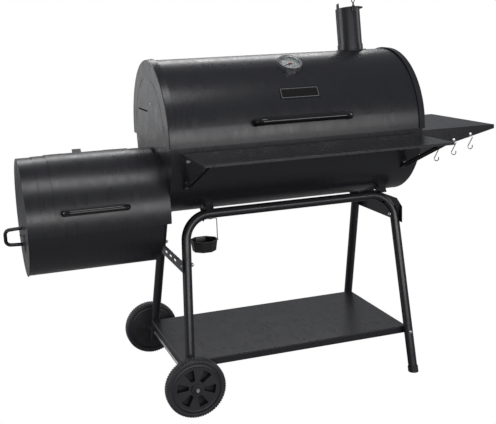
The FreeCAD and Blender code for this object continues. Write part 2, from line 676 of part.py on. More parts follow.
def make_lid():
    out = chimney_axis()
    chimney_foot = V(CHIMNEY_X, *BARREL_AXIS)
    sheet = above(ring(BARREL_AXIS, LID_IN, LID_R, -LID_HALF + SHEET + GAP, LID_HALF - SHEET - GAP), LID_EDGE_Z)
    smoke_hole = Part.makeCylinder(CHIMNEY_R - 2 * SHEET, LID_R + 50, chimney_foot, out)
    stem_hole = on_gauge(-30, 5.0, 60)
    PARTS["lid_sheet"] = cut_bolts(sheet.cut([smoke_hole, stem_hole]), LID_SCREWS + LID_HINGE_BOLTS)

    cap = lid_cap()
    pivots = cylinder((-FAR, *RACK_PIVOT), (1, 0, 0), RACK_WIRE_R + RUN, 2 * FAR)
    PARTS["lid_cap_right"] = cap.cut(pivots)
    y0, y1, z0, z1 = CAP_SLOT
    slot = box(-LID_HALF - 5, -LID_HALF + 5, y0, y1, z0, z1)
    PARTS["lid_cap_left"] = mirrored_x(cap).cut([pivots, slot])

    path = handle_path(BARREL_AXIS, HANDLE_REACH, HANDLE_ANGLE, -HANDLE_HALF + HANDLE_TUBE_R,
                       HANDLE_HALF - HANDLE_TUBE_R, LID_R - 10)
    bar = bent_rod(path, HANDLE_BEND, HANDLE_TUBE_R)
    bar = bar.cut(disc(BARREL_AXIS, LID_R + GAP, -FAR, FAR))
    PARTS["lid_handle"] = cut_bolts(bar, LID_SCREWS)
    PARTS["lid_screws"] = bolt_group(LID_SCREWS + LID_HINGE_BOLTS)

    span = BADGE_SPAN / 2
    badge = curved_sheet(BARREL_AXIS, LID_R + GAP, LID_R + GAP + 2.0, BADGE_ANGLE - span, BADGE_ANGLE + span,
                         GAUGE_X - BADGE_HALF, GAUGE_X + BADGE_HALF)
    PARTS["lid_badge"] = badge


def make_gauge():
    seat = 4.5
    shell = on_gauge(-10, GAUGE_R, 10 + seat + GAUGE_DEPTH).cut(disc(BARREL_AXIS, LID_R + GAP, -FAR, FAR))
    well = on_gauge(seat, GAUGE_R - 4, GAUGE_DEPTH + 1)
    stem_hole = on_gauge(-40, 4.2, 80)
    PARTS["gauge_case"] = shell.cut([well, stem_hole])
    PARTS["gauge_dial"] = on_gauge(seat, GAUGE_R - 4 - GAP, 1.5).cut(on_gauge(-1, 4.2, 20))
    PARTS["gauge_glass"] = on_gauge(seat + GAUGE_DEPTH - 3, GAUGE_R - 4 - GAP, 2.0)
    stem = on_gauge(-75, 4.0, 75 + seat + 2.5)
    nut = on_gauge(-SHEET - 7, 9, 6).cut(on_gauge(-40, 4.2, 80))
    PARTS["gauge_stem"] = Part.makeCompound([stem.cut(on_gauge(seat, 1.5 + RUN, 20)), nut])
    out = gauge_axis()
    centre = V(GAUGE_X, *BARREL_AXIS) + out * (LID_R + seat + 3.4)
    side = V(1, 0, 0)
    up = out.cross(side)
    turn = math.radians(GAUGE_REST)
    along = side * math.cos(turn) + up * math.sin(turn)
    across = out.cross(along)
    length = GAUGE_R - 12
    points = [centre + across * 2.0 - along * 10, centre - across * 2.0 - along * 10, centre - across * 0.5 + along * length,
              centre + across * 0.5 + along * length]
    blade = polygon([tuple(p) for p in points], tuple(out * 1.0))
    boss = Part.makeCylinder(3.4, 1.6, centre, out)
    pin = Part.makeCylinder(1.5, 4.0, centre - out * 3.0, out)
    PARTS["gauge_needle"] = fused([blade, boss, pin])


def make_chimney():
    out = chimney_axis()
    foot = V(CHIMNEY_X, *BARREL_AXIS)
    top = foot + out * (LID_R + CHIMNEY_RISE)
    tube = Part.makeCylinder(CHIMNEY_R, CHIMNEY_RISE + 30, top, out * -1)
    bore = Part.makeCylinder(CHIMNEY_R - 2.0, CHIMNEY_RISE + 80, top + out * 5, out * -1)
    tube = tube.cut([bore, disc(BARREL_AXIS, LID_R + GAP, -FAR, FAR)])
    pad = Part.makeCylinder(COLLAR_R, 60, foot + out * (LID_R - 30), out)
    pad = pad.common(ring(BARREL_AXIS, LID_R + GAP, LID_R + GAP + LEAF, -FAR, FAR))
    rise = Part.makeCylinder(CHIMNEY_R + 0.2 + LEAF, 40, foot + out * (LID_R - 20), out)
    rise = rise.cut(disc(BARREL_AXIS, LID_R + GAP, -FAR, FAR))
    hole = Part.makeCylinder(CHIMNEY_R + 0.2, 120, foot + out * (LID_R - 60), out)
    PARTS["chimney_collar"] = pad.fuse(rise).cut(hole)

    front = damper_pivot()
    lug = Part.makeCylinder(6.5, 14.0, front - out * 14, out).cut(bore)
    pin_hole = Part.makeCylinder(DAMPER_PIN_R + RUN, 60, front - out * 30, out)
    PARTS["chimney"] = tube.fuse(lug).removeSplitter().cut(pin_hole)
    centre = V(CHIMNEY_X, top.y, top.z) - front
    turned = FreeCAD.Rotation(out, DAMPER_TURN).multVec(centre) + front
    plate = Part.makeCylinder(DAMPER_R, 2.0, turned + out * GAP, out)
    plate = plate.fuse(Part.makeCylinder(7.0, 2.0, front + out * GAP, out))
    away = FreeCAD.Rotation(out, DAMPER_TURN).multVec(V(-1, 0, 0))
    edge = turned + away * (DAMPER_R - 3)
    side = out.cross(away).normalize()
    tab_base = edge + out * GAP
    corners = [tab_base - side * 17, tab_base + side * 17, tab_base + side * 15 + out * 20, tab_base - side * 15 + out * 20]
    tab = polygon([tuple(c) for c in corners], tuple(away * 2.0))
    plate = plate.fuse(tab).cut(Part.makeCylinder(DAMPER_PIN_R + 0.02, 60, front - out * 30, out))
    pin = Part.makeCylinder(DAMPER_PIN_R, 32, front - out * 15, out)
    head = Part.makeCylinder(DAMPER_PIN_R + 2, 2.0, front + out * (2.0 + 2 * GAP), out)
    eye = Part.makeTorus(5.5, 1.6, front + out * 21, V(0, 1, 0))
    PARTS["damper_plate"] = Part.makeCompound([plate, fused([pin, head, eye])])


def damper_pivot():
    """Top point of the chimney's front wall, where the damper's pin stands."""
    out = chimney_axis()
    top = V(CHIMNEY_X, *BARREL_AXIS) + out * (LID_R + CHIMNEY_RISE)
    forward = out.cross(V(1, 0, 0)).normalize()
    if forward.y > 0:
        forward = forward * -1
    return top + forward * (CHIMNEY_R + 6.0)



# ---------------------------------------------------------------- lid hinges
def make_lid_hinges():
    """Returns the leaves and pins that stay on the barrel."""
    body_leaves = []
    lid_leaves = []
    pins = []
    half = HINGE_WIDTH / 2
    third = HINGE_WIDTH / 6
    hy, hz = LID_HINGE
    for x in LID_HINGE_X:
        bore = knuckle(LID_HINGE, x - half - 5, x + half + 5, HINGE_PIN_R + RUN)
        leaf = curved_sheet(BARREL_AXIS, BODY_R + GAP, BODY_R + GAP + LEAF, -15, -4.5, x - half, x + half)
        wall_y = polar(BARREL_AXIS, BODY_R + GAP + 0.5, math.degrees(math.asin((hz - BARREL_AXIS[1]) / BODY_R)))[0]
        pieces = [leaf]
        for x0, x1 in ((x - half, x - third - GAP), (x + third + GAP, x + half)):
            pieces.append(knuckle(LID_HINGE, x0, x1, KNUCKLE_R))
            pieces.append(box(x0, x1, wall_y, hy, hz - LEAF / 2, hz + LEAF / 2))
        body_leaves.append(cut_bolts(fused(pieces).cut(bore), BODY_HINGE_BOLTS))

        leaf = curved_sheet(BARREL_AXIS, LID_R + GAP, LID_R + GAP + LEAF, 0.5, 10, x - half, x + half)
        y0, z0 = polar(BARREL_AXIS, LID_R + GAP, 1.0)
        strap = prism(x - third, x + third, [(y0, z0), (y0 + LEAF, z0), (hy + LEAF / 2, hz), (hy - LEAF / 2, hz)])
        tongue = fused([leaf, strap, knuckle(LID_HINGE, x - third, x + third, KNUCKLE_R)]).cut(bore)
        lid_leaves.append(cut_bolts(tongue, LID_HINGE_BOLTS))

        pin = knuckle(LID_HINGE, x - half - 2, x + half + 2, HINGE_PIN_R)
        heads = [knuckle(LID_HINGE, x - half - 3.5, x - half - GAP, HINGE_PIN_R + 1.2),
                 knuckle(LID_HINGE, x + half + GAP, x + half + 3.5, HINGE_PIN_R + 1.2)]
        pins.append(fused([pin] + heads))
    PARTS["lid_hinge_tongues"] = Part.makeCompound(lid_leaves)
    PARTS["barrel_trough"] = cut_bolts(PARTS["barrel_trough"], BODY_HINGE_BOLTS)
    return body_leaves, pins


# ---------------------------------------------------------------- inside the barrel
def wire_grate(x0, x1, half_y, z, frame_r, wire_r, pitch):
    """A frame of round bar, one bar across the middle, and wires along Y welded in a little higher."""
    xa, xb, y = x0 + frame_r, x1 - frame_r, half_y - frame_r
    bars = [cylinder((xa, side * y, z), (1, 0, 0), frame_r, xb - xa) for side in (-1, 0, 1)]
    for x in (xa, xb):
        bars.append(cylinder((x, -y, z), (0, 1, 0), frame_r, 2 * y))
        bars.extend(Part.makeSphere(frame_r, V(x, side * y, z)) for side in (-1, 1))
    count = int(round((xb - xa) / pitch))
    step = (xb - xa) / count
    bars.extend(cylinder((xa + step * i, -y, z + WELD_STEP), (0, 1, 0), wire_r, 2 * y) for i in range(1, count))
    return fused(bars)


def make_inside():
    supports = []
    lip_z = GRATE_Z - GAP
    for side in (-1, 1):
        angle0, angle1 = -12.0, math.degrees(math.asin((lip_z - BARREL_AXIS[1]) / BODY_IN))
        leg = curved_sheet(BARREL_AXIS, BODY_IN - SHEET, BODY_IN - 0.05, angle0, angle1, -GRATE_HALF_X, GRATE_HALF_X)
        lip_out = polar(BARREL_AXIS, BODY_IN - SHEET / 2, angle1)[0]
        lip = box(-GRATE_HALF_X, GRATE_HALF_X, GRATE_HALF_Y - 11, lip_out, lip_z - SHEET, lip_z)
        ledge = cut_bolts(leg.fuse(lip), BODY_HINGE_BOLTS)
        if side < 0:
            ledge = mirrored_y(leg.fuse(lip))
        supports.append(cut_bolts(ledge, BRACKET_BOLTS))
    centre = GRATE_Z + GRATE_FRAME_R
    grate = wire_grate(1.0, GRATE_HALF_X, GRATE_HALF_Y, centre, GRATE_FRAME_R, GRATE_WIRE_R, GRATE_PITCH)
    other = wire_grate(-GRATE_HALF_X, -1.0, GRATE_HALF_Y, centre, GRATE_FRAME_R, GRATE_WIRE_R, GRATE_PITCH)
    PARTS["cooking_grates"] = Part.makeCompound([grate, other])

    half_x, half_y = PAN_HALF
    pan = box(-half_x, half_x, -half_y, half_y, PAN_Z, PAN_Z + PAN_H)
    pan = pan.cut(box(-half_x + SHEET, half_x - SHEET, -half_y + SHEET, half_y - SHEET, PAN_Z + SHEET, PAN_Z + PAN_H + 1))
    vents = [box(x - 30, x + 30, y - 4, y + 4, PAN_Z - 1, PAN_Z + SHEET + 1)
             for x in (-half_x * 0.75, -half_x * 0.375, 0, half_x * 0.375, half_x * 0.75)
             for y in (-half_y * 0.5, 0, half_y * 0.5)]
    PARTS["charcoal_pan"] = pan.cut(vents)
    for x in (-half_x * 0.75, half_x * 0.75):
        bar = box(x - 10, x + 10, -FAR, FAR, PAN_Z - GAP - 8, PAN_Z - GAP)
        supports.append(bar.common(disc(BARREL_AXIS, BODY_IN - 0.1, -FAR, FAR)))
    PARTS["inner_supports"] = Part.makeCompound(supports)


def make_rack():
    """Returns the two studs of the barrel that carry the rack's links."""
    py, pz = RACK_PIVOT
    half = RACK_HALF_X
    wire = 2.5
    bars = [cylinder((-half, py + dy, pz), (1, 0, 0), wire, 2 * half)
            for dy in (-RACK_HALF_Y, -RACK_HALF_Y / 2, 0, RACK_HALF_Y / 2, RACK_HALF_Y)]
    for x in (-half, half):
        bars.append(cylinder((x, py - RACK_HALF_Y, pz), (0, 1, 0), RACK_WIRE_R + 0.4, 2 * RACK_HALF_Y))
        out = math.copysign(1, x)
        bars.append(cylinder((x, py, pz), (out, 0, 0), RACK_WIRE_R, LID_HALF + 2 - half))
        bars.append(cylinder((x, py - RACK_LINK_OFFSET, pz), (out, 0, 0), RACK_WIRE_R, 9))
    count = int(2 * half / RACK_PITCH)
    bars.extend(cylinder((-half + 2 * half * i / count, py - RACK_HALF_Y, pz + WELD_STEP), (0, 1, 0), 1.8,
                         2 * RACK_HALF_Y) for i in range(1, count))
    PARTS["warming_rack"] = fused(bars)

    base = (LID_HINGE[0] - RACK_LINK_OFFSET, LID_HINGE[1])
    tip = (py - RACK_LINK_OFFSET, pz)
    links = []
    studs = []
    for side in (-1, 1):
        x0, x1 = sorted((side * (half + RACK_WIRE_R + 1), side * (half + RACK_WIRE_R + 4)))
        mid = (x0 + x1) / 2
        eye_low = knuckle(base, x0, x1, 7)
        eye_high = knuckle(tip, x0, x1, 8)
        way = V(0, tip[0] - base[0], tip[1] - base[1])
        bar = Part.makeCylinder(1.5, way.Length, V(mid, *base), way)
        link = fused([eye_low, eye_high, bar])
        link = link.cut([knuckle(base, x0 - 1, x1 + 1, RACK_WIRE_R + RUN), knuckle(tip, x0 - 1, x1 + 1, RACK_WIRE_R + 1.0)])
        links.append(link)
        s0, s1 = sorted((side * (half + 2), side * BODY_HALF))
        studs.append(knuckle(base, s0, s1, RACK_WIRE_R))
    PARTS["rack_links"] = Part.makeCompound(links)
    hole = knuckle(base, -FAR, FAR, RACK_WIRE_R + 0.05)
    for name in ("barrel_end_left", "barrel_end_right"):
        PARTS[name] = PARTS[name].cut(hole)
    return studs


# ---------------------------------------------------------------- front shelf and side table
def make_front_shelf():
    inner_y = -(BODY_R + 2.5)
    top = FRONT_TOP_Z
    tray = box(-FRONT_HALF, FRONT_HALF, FRONT_EDGE_Y, inner_y, top - FRONT_FLANGE, top)
    rounded = [e for e in tray.Edges if abs(e.CenterOfMass.z - top) < 0.01 and e.CenterOfMass.y < inner_y - 1]
    tray = tray.makeFillet(2.5, rounded)
    hollow = box(-FRONT_HALF + SHEET, FRONT_HALF - SHEET, FRONT_EDGE_Y + SHEET, inner_y + 1,
                 top - FRONT_FLANGE - 1, top - SHEET)
    PARTS["front_shelf"] = tray.cut(hollow)

    arm_top = top - SHEET - GAP
    brackets = []
    for x in (-BRACKET_X, BRACKET_X):
        x0, x1 = x - BRACKET_W / 2, x + BRACKET_W / 2
        strap = curved_sheet(BARREL_AXIS, BODY_R + GAP, BODY_R + GAP + LEAF, *STRAP_ANGLES, x0, x1)
        root_y, root_z = polar(BARREL_AXIS, BODY_R + GAP + LEAF / 2, STRAP_ANGLES[0])
        low_y, low_z = polar(BARREL_AXIS, BODY_R + GAP + LEAF / 2, STRAP_ANGLES[1] - 2)
        tip_y = FRONT_EDGE_Y + 22
        arm = prism(x0, x1, [(root_y, arm_top), (tip_y, arm_top), (tip_y, arm_top - LEAF), (root_y - 1, arm_top - LEAF),
                             (root_y - 1, root_z - 3), (root_y, root_z - 3)])
        strut = prism(x0, x1, [(low_y, low_z + 6), (tip_y + 6, arm_top - LEAF / 2), (tip_y + 6, arm_top - 10),
                               (low_y - 1, low_z - 4)])
        groove = prism(x0 + LEAF, x1 - LEAF, [(low_y - 5, low_z + 2), (tip_y + 10, arm_top - 6),
                                              (tip_y + 10, arm_top - 20), (low_y - 5, low_z - 12)])
        bracket = fused([strap, arm, strut.cut(groove)]).cut(disc(BARREL_AXIS, BODY_R + GAP, x0 - 1, x1 + 1))
        brackets.append(cut_bolts(bracket, BRACKET_BOLTS))
    PARTS["shelf_brackets"] = Part.makeCompound(brackets)


def table_edge_z(x):
    """Lower edge of the side table's tapered flanges."""
    tip = FRONT_TOP_Z - TABLE_LIP
    root = FRONT_TOP_Z - TABLE_ROOT
    return tip + (root - tip) * (TABLE_RIGHT_X - x) / (TABLE_RIGHT_X - BODY_HALF)


def make_side_table():
    x0 = BODY_HALF + GAP
    y0, y1 = TABLE_Y
    top = FRONT_TOP_Z
    outline = [(x0, y0, top), (TABLE_RIGHT_X, y0, top), (TABLE_RIGHT_X, y0, top - TABLE_LIP), (x0, y0, table_edge_z(x0))]
    body = polygon(outline, (0, y1 - y0, 0))
    body = body.makeFillet(2.5, [e for e in body.Edges if abs(e.CenterOfMass.z - top) < 0.01 and e.CenterOfMass.x > x0 + 1])
    hollow = box(x0 + SHEET, TABLE_RIGHT_X - SHEET, y0 + SHEET, y1 - SHEET, top - FAR, top - SHEET)
    inner_half = math.sqrt(BODY_R ** 2 - (BARREL_AXIS[1] - table_edge_z(x0)) ** 2)
    trim = [box(x0 - 1, x0 + SHEET + GAP, inner_half - 3, FAR, 0, top - SHEET)]
    holes = [cylinder((x, y0 - 5, table_edge_z(x) + HOOK_EDGE), (0, 1, 0), HOOK_HOLE_R, 10) for x in HOOK_X]
    PARTS["side_table"] = cut_bolts(body.cut([hollow] + trim + holes), TABLE_BOLTS)

    turn = math.radians(HOOK_TURN)
    across = V(math.cos(turn), math.sin(turn), 0)
    rise = V(0, 0, 1)
    lean = math.acos(2 * HOOK_LOOP_R / HOOK_DROP) - math.pi / 2
    for index, x in enumerate(HOOK_X):
        high = V(x, y0 + SHEET / 2, table_edge_z(x) + HOOK_EDGE - HOOK_SEAT - HOOK_LOOP_R)
        low = high - rise * HOOK_DROP

        def at(centre, angle):
            return centre + (across * math.cos(angle) + rise * math.sin(angle)) * HOOK_LOOP_R
        stub = at(high, math.pi)
        end = at(low, 0)
        edges = [Part.makeLine(stub - rise * 3, stub),
                 Part.Arc(stub, at(high, math.pi / 2), at(high, lean)).toShape(),
                 Part.makeLine(at(high, lean), at(low, lean + math.pi)),
                 Part.Arc(at(low, lean + math.pi), at(low, -math.pi / 2), end).toShape(),
                 Part.makeLine(end, end + rise * 6)]
        profile = Part.Wire(Part.makeCircle(HOOK_WIRE_R, stub - rise * 3, rise))
        PARTS["hook_%d" % (index + 1)] = Part.Wire(edges).makePipeShell([profile], True, False)


# ---------------------------------------------------------------- firebox
FIRE_IN = FIRE_R - SHEET
FIRE_RIGHT = -BODY_HALF
DOOR_SCREWS = handle_screws(FIRE_AXIS, DOOR_HANDLE_ANGLE, DOOR_HANDLE_X[0] + DOOR_HANDLE_R,
                            DOOR_HANDLE_X[1] - DOOR_HANDLE_R, FIRE_R + DOOR_GAP, SHEET)
DOOR_HINGE = polar(FIRE_AXIS, DOOR_HINGE_REACH, DOOR_HINGE_ANGLE)


def door_panel(r_in, r_out, lap):
    """A panel with rounded front corners; lap shrinks it on every side."""
    a0, a1 = DOOR_ANGLES
    shrink = math.degrees(lap / FIRE_R)
    panel = curved_sheet(FIRE_AXIS, r_in, r_out, a0 + shrink, a1 - shrink, DOOR_X[0] + lap, DOOR_X[1] - lap)
    low_y, low_z = polar(FIRE_AXIS, r_out, a1 - shrink)
    radius = DOOR_CORNER - lap / 2
    corners = []
    for x, way in ((DOOR_X[0] + lap, 1), (DOOR_X[1] - lap, -1)):
        x_in = x + way * radius
        block = box(min(x - way, x_in), max(x - way, x_in), -FAR, FIRE_AXIS[0], low_z - 2, low_z + radius)
        keep = cylinder((x_in, -FAR, low_z + radius), (0, 1, 0), radius, 2 * FAR)
        corners.append(block.cut(keep))
    return panel.cut(corners)


def make_firebox():
    band_end = FIRE_LEFT + FIRE_BAND + FIRE_TUCK
    shell = above(ring(FIRE_AXIS, FIRE_IN, FIRE_R, FIRE_LEFT + FIRE_BAND, FIRE_RIGHT - SHEET), FIRE_EDGE_Z)
    lip_out = math.sqrt(FIRE_R ** 2 - (FIRE_AXIS[1] - FIRE_EDGE_Z) ** 2)
    lips = []
    for side in (-1, 1):
        ya, yb = sorted((FIRE_AXIS[0] + side * (lip_out - SHEET / 2), FIRE_AXIS[0] + side * (lip_out - FIRE_FLANGE)))
        lips.append(box(band_end + GAP, FIRE_RIGHT - SHEET, ya, yb, FIRE_EDGE_Z, FIRE_EDGE_Z + SHEET))
    shell = fused([shell] + lips)
    shell = shell.cut(door_panel(FIRE_R - 10, FIRE_R + 10, DOOR_LAP))
    PARTS["firebox_shell"] = cut_bolts(shell, DOOR_HINGE_BOLTS + STOP_BOLTS)

    band_r = FIRE_IN - 0.1
    plate = above(disc(FIRE_AXIS, band_r, FIRE_LEFT, FIRE_LEFT + SHEET), FIRE_EDGE_Z)
    band = above(ring(FIRE_AXIS, band_r - SHEET, band_r, FIRE_LEFT, band_end), FIRE_EDGE_Z)
    lips = []
    for side in (-1, 1):
        ya, yb = sorted((FIRE_AXIS[0] + side * (lip_out - 2 * SHEET), FIRE_AXIS[0] + side * (lip_out - FIRE_FLANGE)))
        lips.append(box(FIRE_LEFT, FIRE_LEFT + FIRE_BAND - GAP, ya, yb, FIRE_EDGE_Z, FIRE_EDGE_Z + SHEET))
    rim_half = math.sqrt(DRAWER_R ** 2 - (FIRE_AXIS[1] - DRAWER_RIM_Z) ** 2)
    notches = []
    for side in (-1, 1):
        ya, yb = sorted((FIRE_AXIS[0] + side * (rim_half - 4), FIRE_AXIS[0] + side * (rim_half + DRAWER_LIP + 0.6)))
        notches.append(box(FIRE_LEFT - 5, FIRE_LEFT + SHEET + 5, ya, yb, FIRE_EDGE_Z - 1, DRAWER_RIM_Z + 0.6))
    PARTS["firebox_cap_left"] = fused([plate, band] + lips).cut(notches)

    plate = above(disc(FIRE_AXIS, FIRE_R, FIRE_RIGHT - SHEET, FIRE_RIGHT), FIRE_EDGE_Z)
    plate = plate.cut(passage(FIRE_RIGHT - 10, FIRE_RIGHT + 5))
    PARTS["firebox_end_right"] = cut_bolts(plate, FIRE_BOLTS)


def make_door():
    """Returns the leaves and pins that stay on the firebox."""
    r_in = FIRE_R + DOOR_GAP
    r_out = r_in + SHEET
    panel = door_panel(r_in, r_out, 0)
    half = DOOR_HINGE_WIDTH / 2
    third = DOOR_HINGE_WIDTH / 6
    hy, hz = DOOR_HINGE
    rim_y, rim_z = polar(FIRE_AXIS, (r_in + r_out) / 2, DOOR_ANGLES[0] + 0.5)
    ears = []
    leaves = []
    pins = []
    bores = []
    for x in DOOR_HINGE_X:
        bores.append(knuckle(DOOR_HINGE, x - half - 5, x + half + 5, HINGE_PIN_R + RUN))
        ears.append(knuckle(DOOR_HINGE, x - third, x + third, 5.0))
        ears.append(prism(x - third, x + third, [(rim_y, rim_z - 0.8), (hy, hz - 0.8), (hy, hz + 0.8), (rim_y - 2, rim_z + 0.8)]))
        pieces = [curved_sheet(FIRE_AXIS, FIRE_R + GAP, FIRE_R + GAP + LEAF, 50, DOOR_HINGE_ANGLE + 1.5, x - half, x + half)]
        foot_y, foot_z = polar(FIRE_AXIS, FIRE_R + GAP + LEAF / 2, DOOR_HINGE_ANGLE)
        for x0, x1 in ((x - half, x - third - GAP), (x + third + GAP, x + half)):
            pieces.append(knuckle(DOOR_HINGE, x0, x1, 5.0))
            pieces.append(prism(x0, x1, [(foot_y - 1, foot_z), (foot_y + 1, foot_z), (hy + 1, hz), (hy - 1, hz)]))
        leaf = fused(pieces).cut(disc(FIRE_AXIS, FIRE_R + GAP, x - 50, x + 50)).cut(bores[-1])
        slot = knuckle(DOOR_HINGE, x - third - GAP, x + third + GAP, 5.0 + GAP)
        leaves.append(cut_bolts(leaf.cut(slot), DOOR_HINGE_BOLTS))
        pin = knuckle(DOOR_HINGE, x - half - 2, x + half + 2, HINGE_PIN_R)
        heads = [knuckle(DOOR_HINGE, x - half - 3.5, x - half - GAP, HINGE_PIN_R + 1.2),
                 knuckle(DOOR_HINGE, x + half + GAP, x + half + 3.5, HINGE_PIN_R + 1.2)]
        pins.append(fused([pin] + heads))
    door = fused([panel] + ears).cut(bores)
    PARTS["firebox_door"] = cut_bolts(door, DOOR_SCREWS)

    path = handle_path(FIRE_AXIS, DOOR_HANDLE_REACH, DOOR_HANDLE_ANGLE, DOOR_HANDLE_X[0] + DOOR_HANDLE_R,
                       DOOR_HANDLE_X[1] - DOOR_HANDLE_R, r_out - 10)
    bar = bent_rod(path, 22.0, DOOR_HANDLE_R).cut(disc(FIRE_AXIS, r_out + GAP, -FAR, FAR))
    PARTS["door_handle"] = Part.makeCompound([cut_bolts(bar, DOOR_SCREWS), bolt_group(DOOR_SCREWS)])

    foot = curved_sheet(FIRE_AXIS, FIRE_R + GAP, FIRE_R + GAP + LEAF, STOP_ANGLE - 9, STOP_ANGLE, *STOP_X)
    arm = prism(*STOP_X, [polar(FIRE_AXIS, FIRE_R + GAP + 0.5, STOP_ANGLE - 0.6), polar(FIRE_AXIS, STOP_REACH, STOP_ANGLE - 0.6),
                          polar(FIRE_AXIS, STOP_REACH, STOP_ANGLE), polar(FIRE_AXIS, FIRE_R + GAP + 0.5, STOP_ANGLE)])
    PARTS["door_stop"] = cut_bolts(foot.fuse(arm).removeSplitter(), STOP_BOLTS)
    return leaves, pins


def shell_bolts(xs, angle):
    bolts = []
    for x in xs:
        y, z = polar(FIRE_AXIS, FIRE_R + GAP + LEAF, angle)
        bolts.append(Bolt((x, y, z), (0, FIRE_AXIS[0] - y, FIRE_AXIS[1] - z), LEAF + SHEET + 2 * GAP, 2.0))
    return bolts


DOOR_HINGE_BOLTS = shell_bolts([x + dx for x in DOOR_HINGE_X for dx in (-12, 12)], 53.5)
STOP_BOLTS = shell_bolts([sum(STOP_X) / 2], STOP_ANGLE - 5.5)


# ---------------------------------------------------------------- ash drawer
def make_drawer():
    x0, x1 = DRAWER_X
    inner = DRAWER_R - SHEET
    shell = below(ring(FIRE_AXIS, inner, DRAWER_R, FIRE_LEFT + SHEET + GAP, x1), DRAWER_RIM_Z)
    plate = below(disc(FIRE_AXIS, inner + 0.5, x1 - SHEET, x1), DRAWER_RIM_Z)
    rim_half = math.sqrt(DRAWER_R ** 2 - (FIRE_AXIS[1] - DRAWER_RIM_Z) ** 2)
    lips = []
    for side in (-1, 1):
        ya, yb = sorted((FIRE_AXIS[0] + side * (rim_half - SHEET / 2), FIRE_AXIS[0] + side * (rim_half + DRAWER_LIP)))
        lips.append(box(x0 + 5, x1, ya, yb, DRAWER_RIM_Z - SHEET, DRAWER_RIM_Z))
    PARTS["ash_drawer"] = fused([shell, plate] + lips)

    front = below(disc(FIRE_AXIS, DRAWER_FRONT_R, FIRE_LEFT, FIRE_LEFT + SHEET), FIRE_EDGE_Z - GAP)
    flare = below(ring(FIRE_AXIS, DRAWER_FRONT_R, DRAWER_FRONT_R + 4, FIRE_LEFT, FIRE_LEFT + SHEET), FIRE_EDGE_Z - GAP)
    front = front.fuse(flare).removeSplitter()
    sy, sz = SHUTTER_AXIS
    face = FIRE_LEFT - GAP
    holes = []
    for index in range(VENT_HOLES):
        y, z = polar(SHUTTER_AXIS, SHUTTER_R * 0.58, 360.0 * index / VENT_HOLES)
        holes.append(cylinder((FIRE_LEFT - 20, y, z), (1, 0, 0), VENT_HOLE_R, 60))
    front = front.cut(holes + [cylinder((FIRE_LEFT - 20, LOOP_Y, z), (1, 0, 0), LOOP_R / 2 + 0.2, 60) for z in LOOP_Z])
    rivet = fused([cylinder((FIRE_LEFT - 4, sy, sz), (1, 0, 0), 2.5, 4 + SHEET),
                   cylinder((FIRE_LEFT - 5, sy, sz), (1, 0, 0), 5.5, 5 - SHEET - 2 * GAP)])
    PARTS["drawer_front"] = front.fuse(rivet)

    loop = bent_rod([(face, LOOP_Y, LOOP_Z[0]), (LOOP_TIP_X, LOOP_Y, LOOP_Z[0] + 3),
                     (LOOP_TIP_X, LOOP_Y, LOOP_Z[1] - 3), (face, LOOP_Y, LOOP_Z[1])], 16.0, LOOP_R)
    studs = [cylinder((FIRE_LEFT - 8, LOOP_Y, z), (1, 0, 0), LOOP_R / 2, 14) for z in LOOP_Z]
    PARTS["drawer_handle"] = fused([loop.cut(box(face, FAR, -FAR, FAR, 0, FAR))] + studs)

    plate = cylinder((face - SHEET, sy, sz), (1, 0, 0), SHUTTER_R, SHEET)
    tab = box(FIRE_LEFT - 14, face, sy - 9, sy + 9, sz + SHUTTER_R - 6, sz + SHUTTER_R - 4.5)
    PARTS["vent_shutter"] = plate.fuse(tab).cut(holes + [cylinder((FIRE_LEFT - 20, sy, sz), (1, 0, 0), 2.5 + RUN, 60)])

    bar = GRATE_FRAME_R
    half = math.sqrt((inner - bar - GAP) ** 2 - (FIRE_AXIS[1] - FIRE_GRATE_Z) ** 2) + bar
    grate = wire_grate(x0 + 25, x1 - 20, half, FIRE_GRATE_Z, bar, GRATE_WIRE_R, 22.0)
    PARTS["fire_grate"] = grate.translated(V(0, FIRE_AXIS[0], 0))


# ---------------------------------------------------------------- grease cup
def make_cup():
    half = CUP_ACROSS / 2
    corner = half / math.cos(math.pi / 8)

    def octagon(radius, z):
        turns = [math.pi / 8 + math.pi / 4 * k for k in range(9)]
        return Part.makePolygon([V(CUP_X + radius * math.cos(t), radius * math.sin(t), z) for t in turns])

    def tapered(grow, z0, z1):
        return Part.makeLoft([octagon(corner - CUP_TAPER + grow, z0), octagon(corner + grow, z1)], True)
    bottom = CUP_TOP_Z - CUP_H
    cup = tapered(0, bottom, CUP_TOP_Z).cut(tapered(-SHEET, bottom + SHEET, CUP_TOP_Z + 0.01))
    rim = Part.Face(octagon(corner + 4, CUP_TOP_Z - SHEET)).extrude(V(0, 0, SHEET))
    rim = rim.cut(Part.Face(octagon(corner - SHEET, CUP_TOP_Z - 5)).extrude(V(0, 0, 10)))
    PARTS["grease_cup"] = cup.fuse(rim).removeSplitter()

    reach = half + 4 + BAIL_R + GAP
    low = CUP_TOP_Z - SHEET - BAIL_R - GAP
    path = [(CUP_X - reach + 4.5, 0, low), (CUP_X - reach, 0, low), (CUP_X - reach, 0, BAIL_TOP_Z),
            (CUP_X + reach, 0, BAIL_TOP_Z), (CUP_X + reach, 0, low), (CUP_X + reach - 4.5, 0, low)]
    PARTS["cup_bail"] = bent_rod(path, 4.0, BAIL_R)

    hook_r = 2.0
    drop = BAIL_TOP_Z - BAIL_R - GAP - hook_r
    top = BARREL_AXIS[1] - BODY_R - 1.0
    side = DRAIN_R + 3.4
    hook = bent_rod([(CUP_X, side, top), (CUP_X, side, drop), (CUP_X, -side, drop), (CUP_X, -side, drop + 14)],
                    5.0, hook_r)
    PARTS["grease_spout"] = PARTS["grease_spout"].fuse(hook).removeSplitter()


